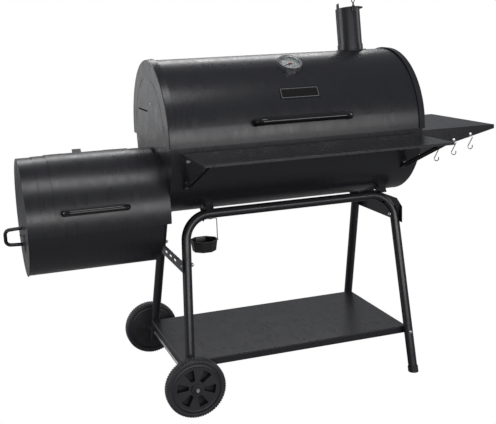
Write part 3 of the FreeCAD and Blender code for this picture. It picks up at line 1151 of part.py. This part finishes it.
# ---------------------------------------------------------------- build and export
def extents():
    """Left, right, front and back of the whole part, from the dimensions that set them."""
    return (LOOP_TIP_X - LOOP_R, TABLE_RIGHT_X, FRONT_EDGE_Y, AXLE_HALF)


def build():
    make_frame()
    make_cross_members()
    make_lower_shelf()
    make_wheels()
    make_barrel()
    make_lid()
    make_gauge()
    make_chimney()
    lid_leaves, lid_pins = make_lid_hinges()
    make_inside()
    studs = make_rack()
    make_front_shelf()
    make_side_table()
    make_firebox()
    door_leaves, door_pins = make_door()
    make_drawer()
    make_cup()
    PARTS["hinge_leaves"] = Part.makeCompound(lid_leaves + door_leaves)
    PARTS["hinge_pins"] = Part.makeCompound(lid_pins + door_pins + studs)
    PARTS["m6_bolts"] = bolt_group(FRAME_BOLTS + BRACE_BOLTS + SADDLE_BOLTS + FIRE_BOLTS + TABLE_BOLTS + BRACKET_BOLTS)
    PARTS["m4_bolts"] = bolt_group(BODY_HINGE_BOLTS + DOOR_HINGE_BOLTS + STOP_BOLTS)


def origin_shift():
    x0, x1, y0, y1 = extents()
    return V(-(x0 + x1) / 2, -(y0 + y1) / 2, 0)


def export():
    os.makedirs("parts", exist_ok=True)
    shift = origin_shift()
    for name, shape in sorted(PARTS.items()):
        placed = shape.translated(shift)
        placed.exportStep("parts/%s.step" % name)
        box_ = placed.BoundBox
        print("%-24s solids %2d valid %s vol %10.0f  x %7.1f %7.1f  y %7.1f %7.1f  z %7.1f %7.1f" % (
            name, len(placed.Solids), placed.isValid(), placed.Volume, box_.XMin, box_.XMax, box_.YMin, box_.YMax,
            box_.ZMin, box_.ZMax))


if __name__ == "__main__":
    build()
    export()
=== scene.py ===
import json
import math

import bmesh
import bpy
from mathutils import Matrix, Vector


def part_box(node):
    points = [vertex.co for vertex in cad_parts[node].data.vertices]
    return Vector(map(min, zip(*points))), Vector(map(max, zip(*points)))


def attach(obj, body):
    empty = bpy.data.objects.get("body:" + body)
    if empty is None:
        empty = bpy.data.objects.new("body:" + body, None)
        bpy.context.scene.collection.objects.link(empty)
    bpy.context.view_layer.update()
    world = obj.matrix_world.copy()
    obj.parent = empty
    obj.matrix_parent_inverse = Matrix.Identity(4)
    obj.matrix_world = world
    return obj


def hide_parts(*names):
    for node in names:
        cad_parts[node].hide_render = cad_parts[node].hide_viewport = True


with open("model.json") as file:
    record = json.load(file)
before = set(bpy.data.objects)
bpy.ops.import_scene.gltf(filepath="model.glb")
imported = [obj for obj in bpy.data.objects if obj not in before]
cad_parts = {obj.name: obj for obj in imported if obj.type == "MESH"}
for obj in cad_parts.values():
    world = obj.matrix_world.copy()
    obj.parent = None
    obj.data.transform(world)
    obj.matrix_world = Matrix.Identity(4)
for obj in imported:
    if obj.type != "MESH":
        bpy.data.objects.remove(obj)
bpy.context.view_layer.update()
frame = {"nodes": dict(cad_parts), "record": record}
NODES = frame["nodes"]
MM = 0.001

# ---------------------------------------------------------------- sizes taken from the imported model
SHIFT = Vector((0.0935, 0.0805, 0.0))        # from the barrel's middle plane to the shared frame
BARREL = (SHIFT.y, 0.890)                    # y, z of the barrel's centre line
LID_R = 0.261

WHEEL_WIDTH = 0.036
WHEEL_WINDOWS = 6
WINDOW_R = (0.027, 0.066)
WINDOW_HALF_ANGLE = 14.0
WINDOW_TURN = -9.0
TREAD_RIBS = 72
TREAD_DEPTH = 0.0022
GAUGE_ANGLE = 121.0                          # from +Y over the top, as the barrel's angles are
GAUGE_X = 0.006
BADGE_ANGLES = (143.0, 152.0)

# ---------------------------------------------------------------- camera
CAMERA_AT = Vector((-1.0110, -2.7989, 1.2707))
CAMERA_YAW = 18.9
CAMERA_PITCH = -12.5
CAMERA_ROLL = -2.2
CAMERA_LENS = 62.68


# ---------------------------------------------------------------- material helpers
def new_material(name):
    mat = bpy.data.materials.new(name)
    mat.use_nodes = True
    tree = mat.node_tree
    return mat, tree, tree.nodes["Principled BSDF"]


def add(tree, kind, **values):
    node = tree.nodes.new(kind)
    for key, value in values.items():
        setattr(node, key, value)
    return node


def noise(tree, scale, detail=3.0, rough=0.5, stretch=None):
    """Noise in object space, in features per metre; stretch squeezes it along an axis."""
    coords = add(tree, "ShaderNodeTexCoord")
    texture = add(tree, "ShaderNodeTexNoise")
    texture.inputs["Scale"].default_value = scale
    texture.inputs["Detail"].default_value = detail
    texture.inputs["Roughness"].default_value = rough
    if stretch:
        mapping = add(tree, "ShaderNodeMapping")
        mapping.inputs["Scale"].default_value = stretch
        tree.links.new(coords.outputs["Object"], mapping.inputs["Vector"])
        tree.links.new(mapping.outputs["Vector"], texture.inputs["Vector"])
    else:
        tree.links.new(coords.outputs["Object"], texture.inputs["Vector"])
    return texture.outputs["Fac"]


def ramp(tree, source, low, high, from_min=0.3, from_max=0.7):
    node = add(tree, "ShaderNodeMapRange")
    node.inputs["From Min"].default_value = from_min
    node.inputs["From Max"].default_value = from_max
    node.inputs["To Min"].default_value = low
    node.inputs["To Max"].default_value = high
    tree.links.new(source, node.inputs["Value"])
    return node.outputs["Result"]


def blend_colours(tree, fac, a, b):
    node = add(tree, "ShaderNodeMix", data_type="RGBA")
    node.inputs["A"].default_value = (*a, 1.0)
    node.inputs["B"].default_value = (*b, 1.0)
    tree.links.new(fac, node.inputs["Factor"])
    return node.outputs["Result"]


def bump(tree, shader, height, distance, strength=1.0, below=None):
    node = add(tree, "ShaderNodeBump")
    node.inputs["Strength"].default_value = strength
    node.inputs["Distance"].default_value = distance
    tree.links.new(height, node.inputs["Height"])
    if below is not None:
        tree.links.new(below, node.inputs["Normal"])
    tree.links.new(node.outputs["Normal"], shader.inputs["Normal"])
    return node.outputs["Normal"]


def painted_edge_highlight(tree, shader, base, edge_highlight_colour, amount=0.25):
    """Slightly lighter colour along convex edges: a painted highlight on the edges."""
    geometry = add(tree, "ShaderNodeNewGeometry")
    edge = ramp(tree, geometry.outputs["Pointiness"], 0.0, amount, 0.51, 0.56)
    tree.links.new(blend_colours(tree, edge, base, edge_highlight_colour), shader.inputs["Base Color"])


def powder_coat(name, base, rough, grain=650.0, depth=0.00006, edge_highlight_colour=None):
    """Baked powder coat: fine orange peel over a slow drift in gloss."""
    mat, tree, shader = new_material(name)
    drift = noise(tree, 9.0, 4.0)
    smear = noise(tree, 55.0, 3.0, 0.6, (1.0, 0.35, 0.35))
    mixed = add(tree, "ShaderNodeMath", operation="MULTIPLY_ADD")
    tree.links.new(drift, mixed.inputs[0])
    mixed.inputs[1].default_value = 0.55
    tree.links.new(smear, mixed.inputs[2])
    tree.links.new(ramp(tree, mixed.outputs[0], rough - 0.05, rough + 0.07, 0.45, 1.0), shader.inputs["Roughness"])
    light = tuple(c * 1.35 for c in base)
    # When an edge colour is given, convex edges get a painted highlight instead of the colour drift.
    if edge_highlight_colour:
        painted_edge_highlight(tree, shader, base, edge_highlight_colour)
    else:
        tree.links.new(blend_colours(tree, ramp(tree, drift, 0.0, 1.0), base, light), shader.inputs["Base Color"])
    peel = noise(tree, grain, 2.0, 0.45)
    bump(tree, shader, peel, depth)
    shader.inputs["Specular IOR Level"].default_value = 0.5
    return mat


def metal(name, base, rough, brushed=None, scale=900.0, depth=0.00002):
    """Bare metal with fine scratches, drawn out along an axis when brushed."""
    mat, tree, shader = new_material(name)
    shader.inputs["Metallic"].default_value = 1.0
    marks = noise(tree, scale, 4.0, 0.6, brushed or (1.0, 1.0, 1.0))
    cloud = noise(tree, 60.0, 3.0)
    dark = tuple(c * 0.72 for c in base)
    tree.links.new(blend_colours(tree, ramp(tree, cloud, 0.0, 1.0), base, dark), shader.inputs["Base Color"])
    tree.links.new(ramp(tree, marks, rough * 0.7, rough * 1.5), shader.inputs["Roughness"])
    bump(tree, shader, marks, depth)
    return mat


def plastic(name, base, rough, grain=500.0, depth=0.00008):
    mat, tree, shader = new_material(name)
    grainy = noise(tree, grain, 3.0, 0.55)
    cloud = noise(tree, 25.0, 3.0)
    light = tuple(c * 1.5 for c in base)
    tree.links.new(blend_colours(tree, ramp(tree, cloud, 0.0, 1.0), base, light), shader.inputs["Base Color"])
    tree.links.new(ramp(tree, grainy, rough - 0.06, rough + 0.08), shader.inputs["Roughness"])
    bump(tree, shader, grainy, depth)
    return mat


def glass_material():
    mat, tree, shader = new_material("gauge_glass")
    shader.inputs["Base Color"].default_value = (0.96, 0.98, 0.98, 1.0)
    shader.inputs["Transmission Weight"].default_value = 1.0
    shader.inputs["IOR"].default_value = 1.25
    haze = noise(tree, 120.0, 2.0)
    tree.links.new(ramp(tree, haze, 0.01, 0.05), shader.inputs["Roughness"])
    return mat


MATERIALS = {
    # The powder's convex edges carry a painted highlight in the lighter second colour.
    "powder": powder_coat("powder", (0.0125, 0.0127, 0.0160), 0.28, edge_highlight_colour=(0.023, 0.023, 0.027)),
    "gloss_black": powder_coat("gloss_black", (0.008, 0.008, 0.009), 0.14, 300.0, 0.00001),
    "plastic": plastic("plastic", (0.018, 0.018, 0.021), 0.46),
    "rubber": plastic("rubber", (0.012, 0.012, 0.012), 0.62, 700.0),
    "zinc": metal("zinc", (0.74, 0.74, 0.75), 0.30),
    "chrome": metal("chrome", (0.82, 0.82, 0.84), 0.09, scale=300.0, depth=0.000005),
    "iron": powder_coat("iron", (0.014, 0.013, 0.013), 0.46, 420.0, 0.00012),
    "pan_steel": powder_coat("pan_steel", (0.035, 0.033, 0.031), 0.60, 300.0, 0.0001),
    "cup_steel": powder_coat("cup_steel", (0.012, 0.012, 0.012), 0.30, 300.0, 0.00003),
    "brass": metal("brass", (0.62, 0.48, 0.24), 0.30),
    "badge": powder_coat("badge", (0.004, 0.004, 0.004), 0.22, 200.0, 0.00001),
    "dial": plastic("dial", (0.62, 0.62, 0.62), 0.40, 900.0, 0.00001),
    "needle_red": plastic("needle_red", (0.22, 0.012, 0.010), 0.35, 900.0, 0.00001),
    "glass": glass_material(),
}
SLOT_OF = {part["node"]: part["material_slot"] for part in frame["record"]["subparts"]}


def smooth(obj, angle=32.0):
    mesh = obj.data
    for face in mesh.polygons:
        face.use_smooth = True
    mesh.set_sharp_from_angle(angle=math.radians(angle))


def dress_cad_nodes():
    for name, obj in NODES.items():
        obj.data.materials.clear()
        obj.data.materials.append(MATERIALS[SLOT_OF[name]])
        smooth(obj)


def finish_piece(obj, body, slot, replaces=()):
    """Gives a modelled piece its material, and hangs it on its body."""
    obj.data.materials.append(MATERIALS[slot])
    for node in replaces:
        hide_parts(node)
    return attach(obj, body)


def mesh_object(name, bm):
    mesh = bpy.data.meshes.new(name)
    bmesh.ops.recalc_face_normals(bm, faces=bm.faces)
    bm.to_mesh(mesh)
    bm.free()
    obj = bpy.data.objects.new(name, mesh)
    bpy.context.scene.collection.objects.link(obj)
    return obj


# ---------------------------------------------------------------- modelled pieces
def lathe(name, profile, segments, to_frame, closed=True):
    """A profile of (radius, height) points, turned about the local Z axis and placed by a matrix."""
    bm = bmesh.new()
    rings = []
    for step in range(segments):
        turn = 2 * math.pi * step / segments
        rings.append([bm.verts.new((r * math.cos(turn), r * math.sin(turn), h)) for r, h in profile])
    spans = len(profile) if closed else len(profile) - 1
    for step in range(segments):
        here, there = rings[step], rings[(step + 1) % segments]
        for k in range(spans):
            n = (k + 1) % len(profile)
            bm.faces.new((here[k], here[n], there[n], there[k]))
    bm.transform(to_frame)
    return mesh_object(name, bm)


def bevel(obj, width, segments=2, angle=35.0):
    mod = obj.modifiers.new("bevel", "BEVEL")
    mod.width = width
    mod.segments = segments
    mod.limit_method = "ANGLE"
    mod.angle_limit = math.radians(angle)
    mod.harden_normals = True
    return obj


def wheel_frame(node):
    """Matrix from a wheel's own axes (Z outward along the axle) to the shared frame, its radius and half width."""
    low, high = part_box(node)
    centre = (low + high) / 2
    if centre.y < SHIFT.y:
        axes = Matrix(((1, 0, 0), (0, 0, -1), (0, 1, 0)))
    else:
        axes = Matrix(((-1, 0, 0), (0, 0, 1), (0, 1, 0)))
    return Matrix.Translation(centre) @ axes.to_4x4(), (high.z - low.z) / 2, (high.y - low.y) / 2


def ribbed_tyre(name, body, to_frame, radius):
    """The tyre: a smooth side wall, and a tread of fine cross ribs that run over the shoulders."""
    half = WHEEL_WIDTH / 2
    profile = [(radius - 0.0175, -half + 0.001), (radius - 0.0105, -half), (radius - 0.0065, -half), (radius - 0.0030, -half + 0.0012),
               (radius - 0.0008, -half + 0.0040), (radius, -half + 0.0085), (radius, half - 0.0085),
               (radius - 0.0008, half - 0.0040), (radius - 0.0030, half - 0.0012), (radius - 0.0065, half), (radius - 0.0105, half),
               (radius - 0.0175, half - 0.001)]
    bm = bmesh.new()
    rings = []
    steps = TREAD_RIBS * 6
    for step in range(steps):
        turn = 2 * math.pi * step / steps
        cut = TREAD_DEPTH if step % 6 in (3, 4, 5) else 0.0
        ring = []
        for r, h in profile:
            depth = cut if r > radius - 0.009 else 0.0
            ring.append(bm.verts.new(((r - depth) * math.cos(turn), (r - depth) * math.sin(turn), h)))
        rings.append(ring)
    for step in range(steps):
        here, there = rings[step], rings[(step + 1) % steps]
        for k in range(len(profile)):
            n = (k + 1) % len(profile)
            bm.faces.new((here[k], here[n], there[n], there[k]))
    bm.transform(to_frame)
    tyre = mesh_object(name, bm)
    smooth(tyre, 25.0)
    return finish_piece(tyre, body, "plastic")


def wheel_disc(name, body, to_frame, radius, node):
    """The moulded disc: six wedge windows with rounded lips between a hub and a stepped rim."""
    inner, outer = WINDOW_R
    face = WHEEL_WIDTH / 2 - 0.0035
    radii = [0.0068, 0.0100, 0.0135, inner - 0.004, inner, (inner + outer) / 2, outer, outer + 0.004,
             radius - 0.0265, radius - 0.0235, radius - 0.0225, radius - 0.0170]
    heights = [face + 0.0010, face + 0.0015, face, face, face, face, face, face,
               face, face + 0.0018, face + 0.0018, face - 0.0010]
    steps = 216
    open_span = math.radians(WINDOW_HALF_ANGLE)

    def is_open(ring, step):
        if not inner - 1e-6 <= radii[ring] < outer - 1e-6:
            return False
        middle = 2 * math.pi * (step + 0.5) / steps
        gap = (middle - math.radians(WINDOW_TURN)) % (2 * math.pi / WHEEL_WINDOWS)
        return min(gap, 2 * math.pi / WHEEL_WINDOWS - gap) < open_span
    bm = bmesh.new()
    sheets = []
    for side in (1, -1):
        grid = []
        for r, h in zip(radii, heights):
            grid.append([bm.verts.new((r * math.cos(2 * math.pi * k / steps), r * math.sin(2 * math.pi * k / steps), side * h))
                         for k in range(steps)])
        sheets.append(grid)
    for ring in range(len(radii) - 1):
        for step in range(steps):
            following = (step + 1) % steps
            if is_open(ring, step):
                continue
            for grid in sheets:
                bm.faces.new((grid[ring][step], grid[ring + 1][step], grid[ring + 1][following], grid[ring][following]))
    front, back = sheets
    for edge in [e for e in bm.edges if e.is_boundary]:
        if edge.verts[0].co.z > 0:
            mates = []
            for vert in edge.verts:
                mates.append(next(b for f_ring, b_ring in zip(front, back) for f, b in zip(f_ring, b_ring) if f is vert))
            bm.faces.new((edge.verts[0], edge.verts[1], mates[1], mates[0]))
    loose = [v for v in bm.verts if not v.link_faces]
    bmesh.ops.delete(bm, geom=loose, context="VERTS")
    bm.transform(to_frame)
    disc = mesh_object(name, bm)
    smooth(disc, 30.0)
    bevel(disc, 0.0011, 3)
    return finish_piece(disc, body, "plastic", (node,))


def make_wheels():
    for node in ("wheel_front", "wheel_rear"):
        body = node.split("_")[1] + "_wheel"
        to_frame, radius, half = wheel_frame(node)
        ribbed_tyre(node + "_tread", body, to_frame, radius)
        wheel_disc(node + "_disc", body, to_frame, radius, node)
        hub = [(0.0062, -half), (0.0165, -half), (0.0180, -half + 0.0015), (0.0180, half - 0.0015), (0.0165, half), (0.0062, half)]
        sleeve = lathe(node + "_hub", hub, 64, to_frame)
        smooth(sleeve)
        finish_piece(sleeve, body, "plastic")
        # Dark disc inside the wheel behind the windows, in the darker rubber colour: painted shade for the shaded
        # pocket interior.
        floor = [(0.0150, -0.014), (radius - 0.0250, -0.014), (radius - 0.0250, -0.010), (0.0150, -0.010)]
        painted_shade_backing = lathe(node + "_pocket_floor_painted_shade", floor, 96, to_frame)
        smooth(painted_shade_backing)
        finish_piece(painted_shade_backing, body, "rubber")


def make_axle_ends():
    """Spacers inside the wheels, and outside them a push-on cap."""
    low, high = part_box("axle_hardware")
    for node in ("wheel_front", "wheel_rear"):
        to_frame, radius, half = wheel_frame(node)
        centre = to_frame.translation
        reach = max(abs(low.y - centre.y), abs(high.y - centre.y)) if node == "wheel_front" else high.y - centre.y
        reach = centre.y - low.y if node == "wheel_front" else reach
        start = half + 0.0003
        cap = [(0.0061, start), (0.0105, start), (0.0105, reach - 0.0030), (0.0085, reach - 0.0008), (0.0061, reach)]
        lid = lathe(node + "_cap", cap, 48, to_frame)
        smooth(lid, 50.0)
        finish_piece(lid, "stand", "plastic", ("axle_hardware",) if node == "wheel_front" else ())
        spacer = [(0.0061, -half - 0.0125), (0.0110, -half - 0.0125), (0.0110, -half - 0.0003), (0.0061, -half - 0.0003)]
        sleeve = lathe(node + "_spacer", spacer, 48, to_frame)
        smooth(sleeve)
        finish_piece(sleeve, "stand", "zinc")


def make_front_shelf():
    """The front shelf: flat sheet with a shallow rolled lip along the front and both ends."""
    low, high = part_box("front_shelf")
    lip = 0.0085
    sheet = 0.0016
    outer = [(low.x, high.y), (low.x, low.y), (high.x, low.y), (high.x, high.y)]
    inner = [(low.x + sheet, high.y), (low.x + sheet, low.y + sheet), (high.x - sheet, low.y + sheet),
             (high.x - sheet, high.y)]
    bm = bmesh.new()
    top = [bm.verts.new((x, y, high.z)) for x, y in outer]
    foot = [bm.verts.new((x, y, high.z - lip)) for x, y in outer]
    under = [bm.verts.new((x, y, high.z - sheet)) for x, y in inner]
    rim = [bm.verts.new((x, y, high.z - lip)) for x, y in inner]
    bm.faces.new(top)
    bm.faces.new(under)
    for k in range(3):
        bm.faces.new((top[k], top[k + 1], foot[k + 1], foot[k]))
        bm.faces.new((under[k], under[k + 1], rim[k + 1], rim[k]))
        bm.faces.new((foot[k], foot[k + 1], rim[k + 1], rim[k]))
    bm.faces.new((top[0], foot[0], rim[0], under[0]))
    bm.faces.new((top[3], foot[3], rim[3], under[3]))
    bm.faces.new((top[0], top[3], under[3], under[0]))
    shelf = mesh_object("front_shelf_sheet", bm)
    smooth(shelf, 30.0)
    bevel(shelf, 0.0007, 2)
    finish_piece(shelf, "stand", "powder", ("front_shelf",))


def gauge_frame():
    """Matrix from the thermometer's own axes (Z out of the lid, X along the barrel) to the shared frame."""
    turn = math.radians(GAUGE_ANGLE)
    out = Vector((0.0, math.cos(turn), math.sin(turn)))
    side = Vector((1.0, 0.0, 0.0))
    up = out.cross(side)
    at = Vector((GAUGE_X + SHIFT.x, BARREL[0], BARREL[1])) + out * LID_R
    return Matrix.Translation(at) @ Matrix((side, up, out)).transposed().to_4x4()


def make_gauge():
    to_frame = gauge_frame()
    bezel = [(0.0380, 0.0036), (0.0418, 0.0036), (0.0420, 0.0050), (0.0420, 0.0135), (0.0414, 0.0155), (0.0398, 0.0171),
             (0.0374, 0.0175), (0.0352, 0.0168), (0.0340, 0.0150), (0.0334, 0.0120), (0.0380, 0.0112)]
    ring = lathe("gauge_bezel", bezel, 128, to_frame)
    smooth(ring, 50.0)
    finish_piece(ring, "lid", "zinc")
    face_z = 0.0063
    bm = bmesh.new()
    for index in range(41):
        turn = math.radians(-25 + 230 * index / 40)
        long_mark = index % 5 == 0
        r0, r1 = (0.0240, 0.0300) if long_mark else (0.0270, 0.0300)
        half = 0.0005 if long_mark else 0.0002
        along = Vector((math.cos(turn), math.sin(turn), 0.0))
        across = Vector((-along.y, along.x, 0.0)) * half
        low = [along * r0 - across, along * r0 + across, along * r1 + across, along * r1 - across]
        bottom = [bm.verts.new(p + Vector((0, 0, face_z - 0.0002))) for p in low]
        top = [bm.verts.new(p + Vector((0, 0, face_z))) for p in low]
        bm.faces.new(top)
        for k in range(4):
            n = (k + 1) % 4
            bm.faces.new((bottom[k], bottom[n], top[n], top[k]))
    bm.transform(to_frame)
    finish_piece(mesh_object("gauge_ticks", bm), "lid", "rubber")
    for name, r0, r1 in (("gauge_ring_outer", 0.0306, 0.0312), ("gauge_ring_inner", 0.0205, 0.0210)):
        band = lathe(name, [(r0, face_z - 0.0002), (r1, face_z - 0.0002), (r1, face_z), (r0, face_z)], 96, to_frame)
        finish_piece(band, "lid", "rubber")


def curved_frame(name, body, slot, x0, x1, a0, a1, radius, line, rise):
    """A thin raised border that follows the barrel's curve: inside x0..x1 and between two angles."""
    bm = bmesh.new()
    arc = math.degrees(line / radius)
    steps = 14

    def strip(xa, xb, b0, b1):
        rows = []
        for k in range(steps + 1):
            turn = math.radians(b0 + (b1 - b0) * k / steps)
            row = []
            for r in (radius, radius + rise):
                for x in (xa, xb):
                    row.append(bm.verts.new((x, BARREL[0] + r * math.cos(turn), BARREL[1] + r * math.sin(turn))))
            rows.append(row)
        for here, there in zip(rows, rows[1:]):
            for a, b in ((0, 1), (1, 3), (3, 2), (2, 0)):
                bm.faces.new((here[a], here[b], there[b], there[a]))
        bm.faces.new([rows[0][k] for k in (0, 1, 3, 2)])
        bm.faces.new([rows[-1][k] for k in (0, 1, 3, 2)])
    strip(x0, x1, a0, a0 + arc)
    strip(x0, x1, a1 - arc, a1)
    strip(x0, x0 + line, a0 + arc, a1 - arc)
    strip(x1 - line, x1, a0 + arc, a1 - arc)
    border = mesh_object(name, bm)
    return finish_piece(border, body, slot)


def make_badge():
    low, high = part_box("lid_badge")
    inset = 0.0035
    turn = math.degrees(inset / LID_R)
    curved_frame("badge_border", "lid", "chrome", low.x + inset, high.x - inset, BADGE_ANGLES[0] + turn,
                 BADGE_ANGLES[1] - turn, LID_R + 0.00225, 0.0016, 0.0005)


# ---------------------------------------------------------------- light, floor and camera
def area_light(name, at, target, size, power, colour=(1.0, 1.0, 1.0)):
    data = bpy.data.lights.new(name, "AREA")
    data.shape = "RECTANGLE"
    data.size, data.size_y = size
    data.energy = power
    data.color = colour
    obj = bpy.data.objects.new(name, data)
    bpy.context.scene.collection.objects.link(obj)
    obj.location = at
    obj.rotation_euler = (Vector(target) - Vector(at)).to_track_quat("-Z", "Y").to_euler()
    return obj


def make_world():
    world = bpy.data.worlds.new("studio")
    bpy.context.scene.world = world
    world.use_nodes = True
    tree = world.node_tree
    tree.nodes.clear()
    seen = add(tree, "ShaderNodeBackground")
    seen.inputs["Color"].default_value = (1.0, 1.0, 1.0, 1.0)
    seen.inputs["Strength"].default_value = 1.0
    felt = add(tree, "ShaderNodeBackground")
    felt.inputs["Color"].default_value = (0.93, 0.95, 1.0, 1.0)
    felt.inputs["Strength"].default_value = 0.24
    rays = add(tree, "ShaderNodeLightPath")
    mix = add(tree, "ShaderNodeMixShader")
    out = add(tree, "ShaderNodeOutputWorld")
    tree.links.new(rays.outputs["Is Camera Ray"], mix.inputs["Fac"])
    tree.links.new(felt.outputs["Background"], mix.inputs[1])
    tree.links.new(seen.outputs["Background"], mix.inputs[2])
    tree.links.new(mix.outputs["Shader"], out.inputs["Surface"])


def make_floor():
    bm = bmesh.new()
    bmesh.ops.create_grid(bm, x_segments=8, y_segments=8, size=9.0)
    floor = mesh_object("floor", bm)
    mat, tree, shader = new_material("floor")
    shader.inputs["Base Color"].default_value = (0.30, 0.30, 0.30, 1.0)
    shader.inputs["Roughness"].default_value = 0.8
    glow = add(tree, "ShaderNodeEmission")
    rays = add(tree, "ShaderNodeLightPath")
    mix = add(tree, "ShaderNodeMixShader")
    out = tree.nodes["Material Output"]
    tree.links.new(rays.outputs["Is Camera Ray"], mix.inputs["Fac"])
    tree.links.new(shader.outputs["BSDF"], mix.inputs[1])
    tree.links.new(glow.outputs["Emission"], mix.inputs[2])
    tree.links.new(mix.outputs["Shader"], out.inputs["Surface"])
    floor.data.materials.append(mat)


def make_camera():
    yaw, pitch, roll = (math.radians(a) for a in (CAMERA_YAW, CAMERA_PITCH, CAMERA_ROLL))
    forward = Vector((math.sin(yaw) * math.cos(pitch), math.cos(yaw) * math.cos(pitch), math.sin(pitch)))
    right = Vector((math.cos(yaw), -math.sin(yaw), 0.0))
    up = right.cross(forward)
    tilted_right = right * math.cos(roll) + up * math.sin(roll)
    tilted_up = up * math.cos(roll) - right * math.sin(roll)
    data = bpy.data.cameras.new("camera")
    data.lens = CAMERA_LENS
    data.sensor_width = 36.0
    data.shift_x = 0.0022
    data.shift_y = -0.0006
    data.clip_end = 50.0
    camera = bpy.data.objects.new("camera", data)
    bpy.context.scene.collection.objects.link(camera)
    axes = Matrix((tilted_right, tilted_up, -forward)).transposed()
    camera.matrix_world = Matrix.Translation(CAMERA_AT) @ axes.to_4x4()
    bpy.context.scene.camera = camera


def make_lights():
    area_light("front", (0.3, -4.2, 1.25), (0.1, 0.0, 0.9), (5.0, 1.2), 80.0)
    area_light("back_high", (0.0, 2.6, 2.6), (0.1, 0.1, 0.9), (4.0, 0.7), 36.0)
    area_light("left", (-3.4, 1.0, 1.3), (-0.3, 0.0, 0.8), (2.2, 1.8), 34.0)
    area_light("behind_left", (-1.6, 3.2, 1.0), (-0.3, 0.0, 0.9), (1.6, 1.2), 4.0)
    area_light("overhead", (-0.4, -1.0, 3.4), (0.1, 0.0, 0.8), (1.6, 0.8), 20.0)
    area_light("right", (3.4, -0.4, 1.6), (0.4, 0.1, 0.7), (1.0, 2.0), 14.0)


# ---------------------------------------------------------------- the whole scene
make_world()
make_floor()
make_camera()
make_lights()
dress_cad_nodes()
make_wheels()
make_axle_ends()
make_front_shelf()
make_gauge()
make_badge()

bpy.context.scene.view_settings.view_transform = "Standard"
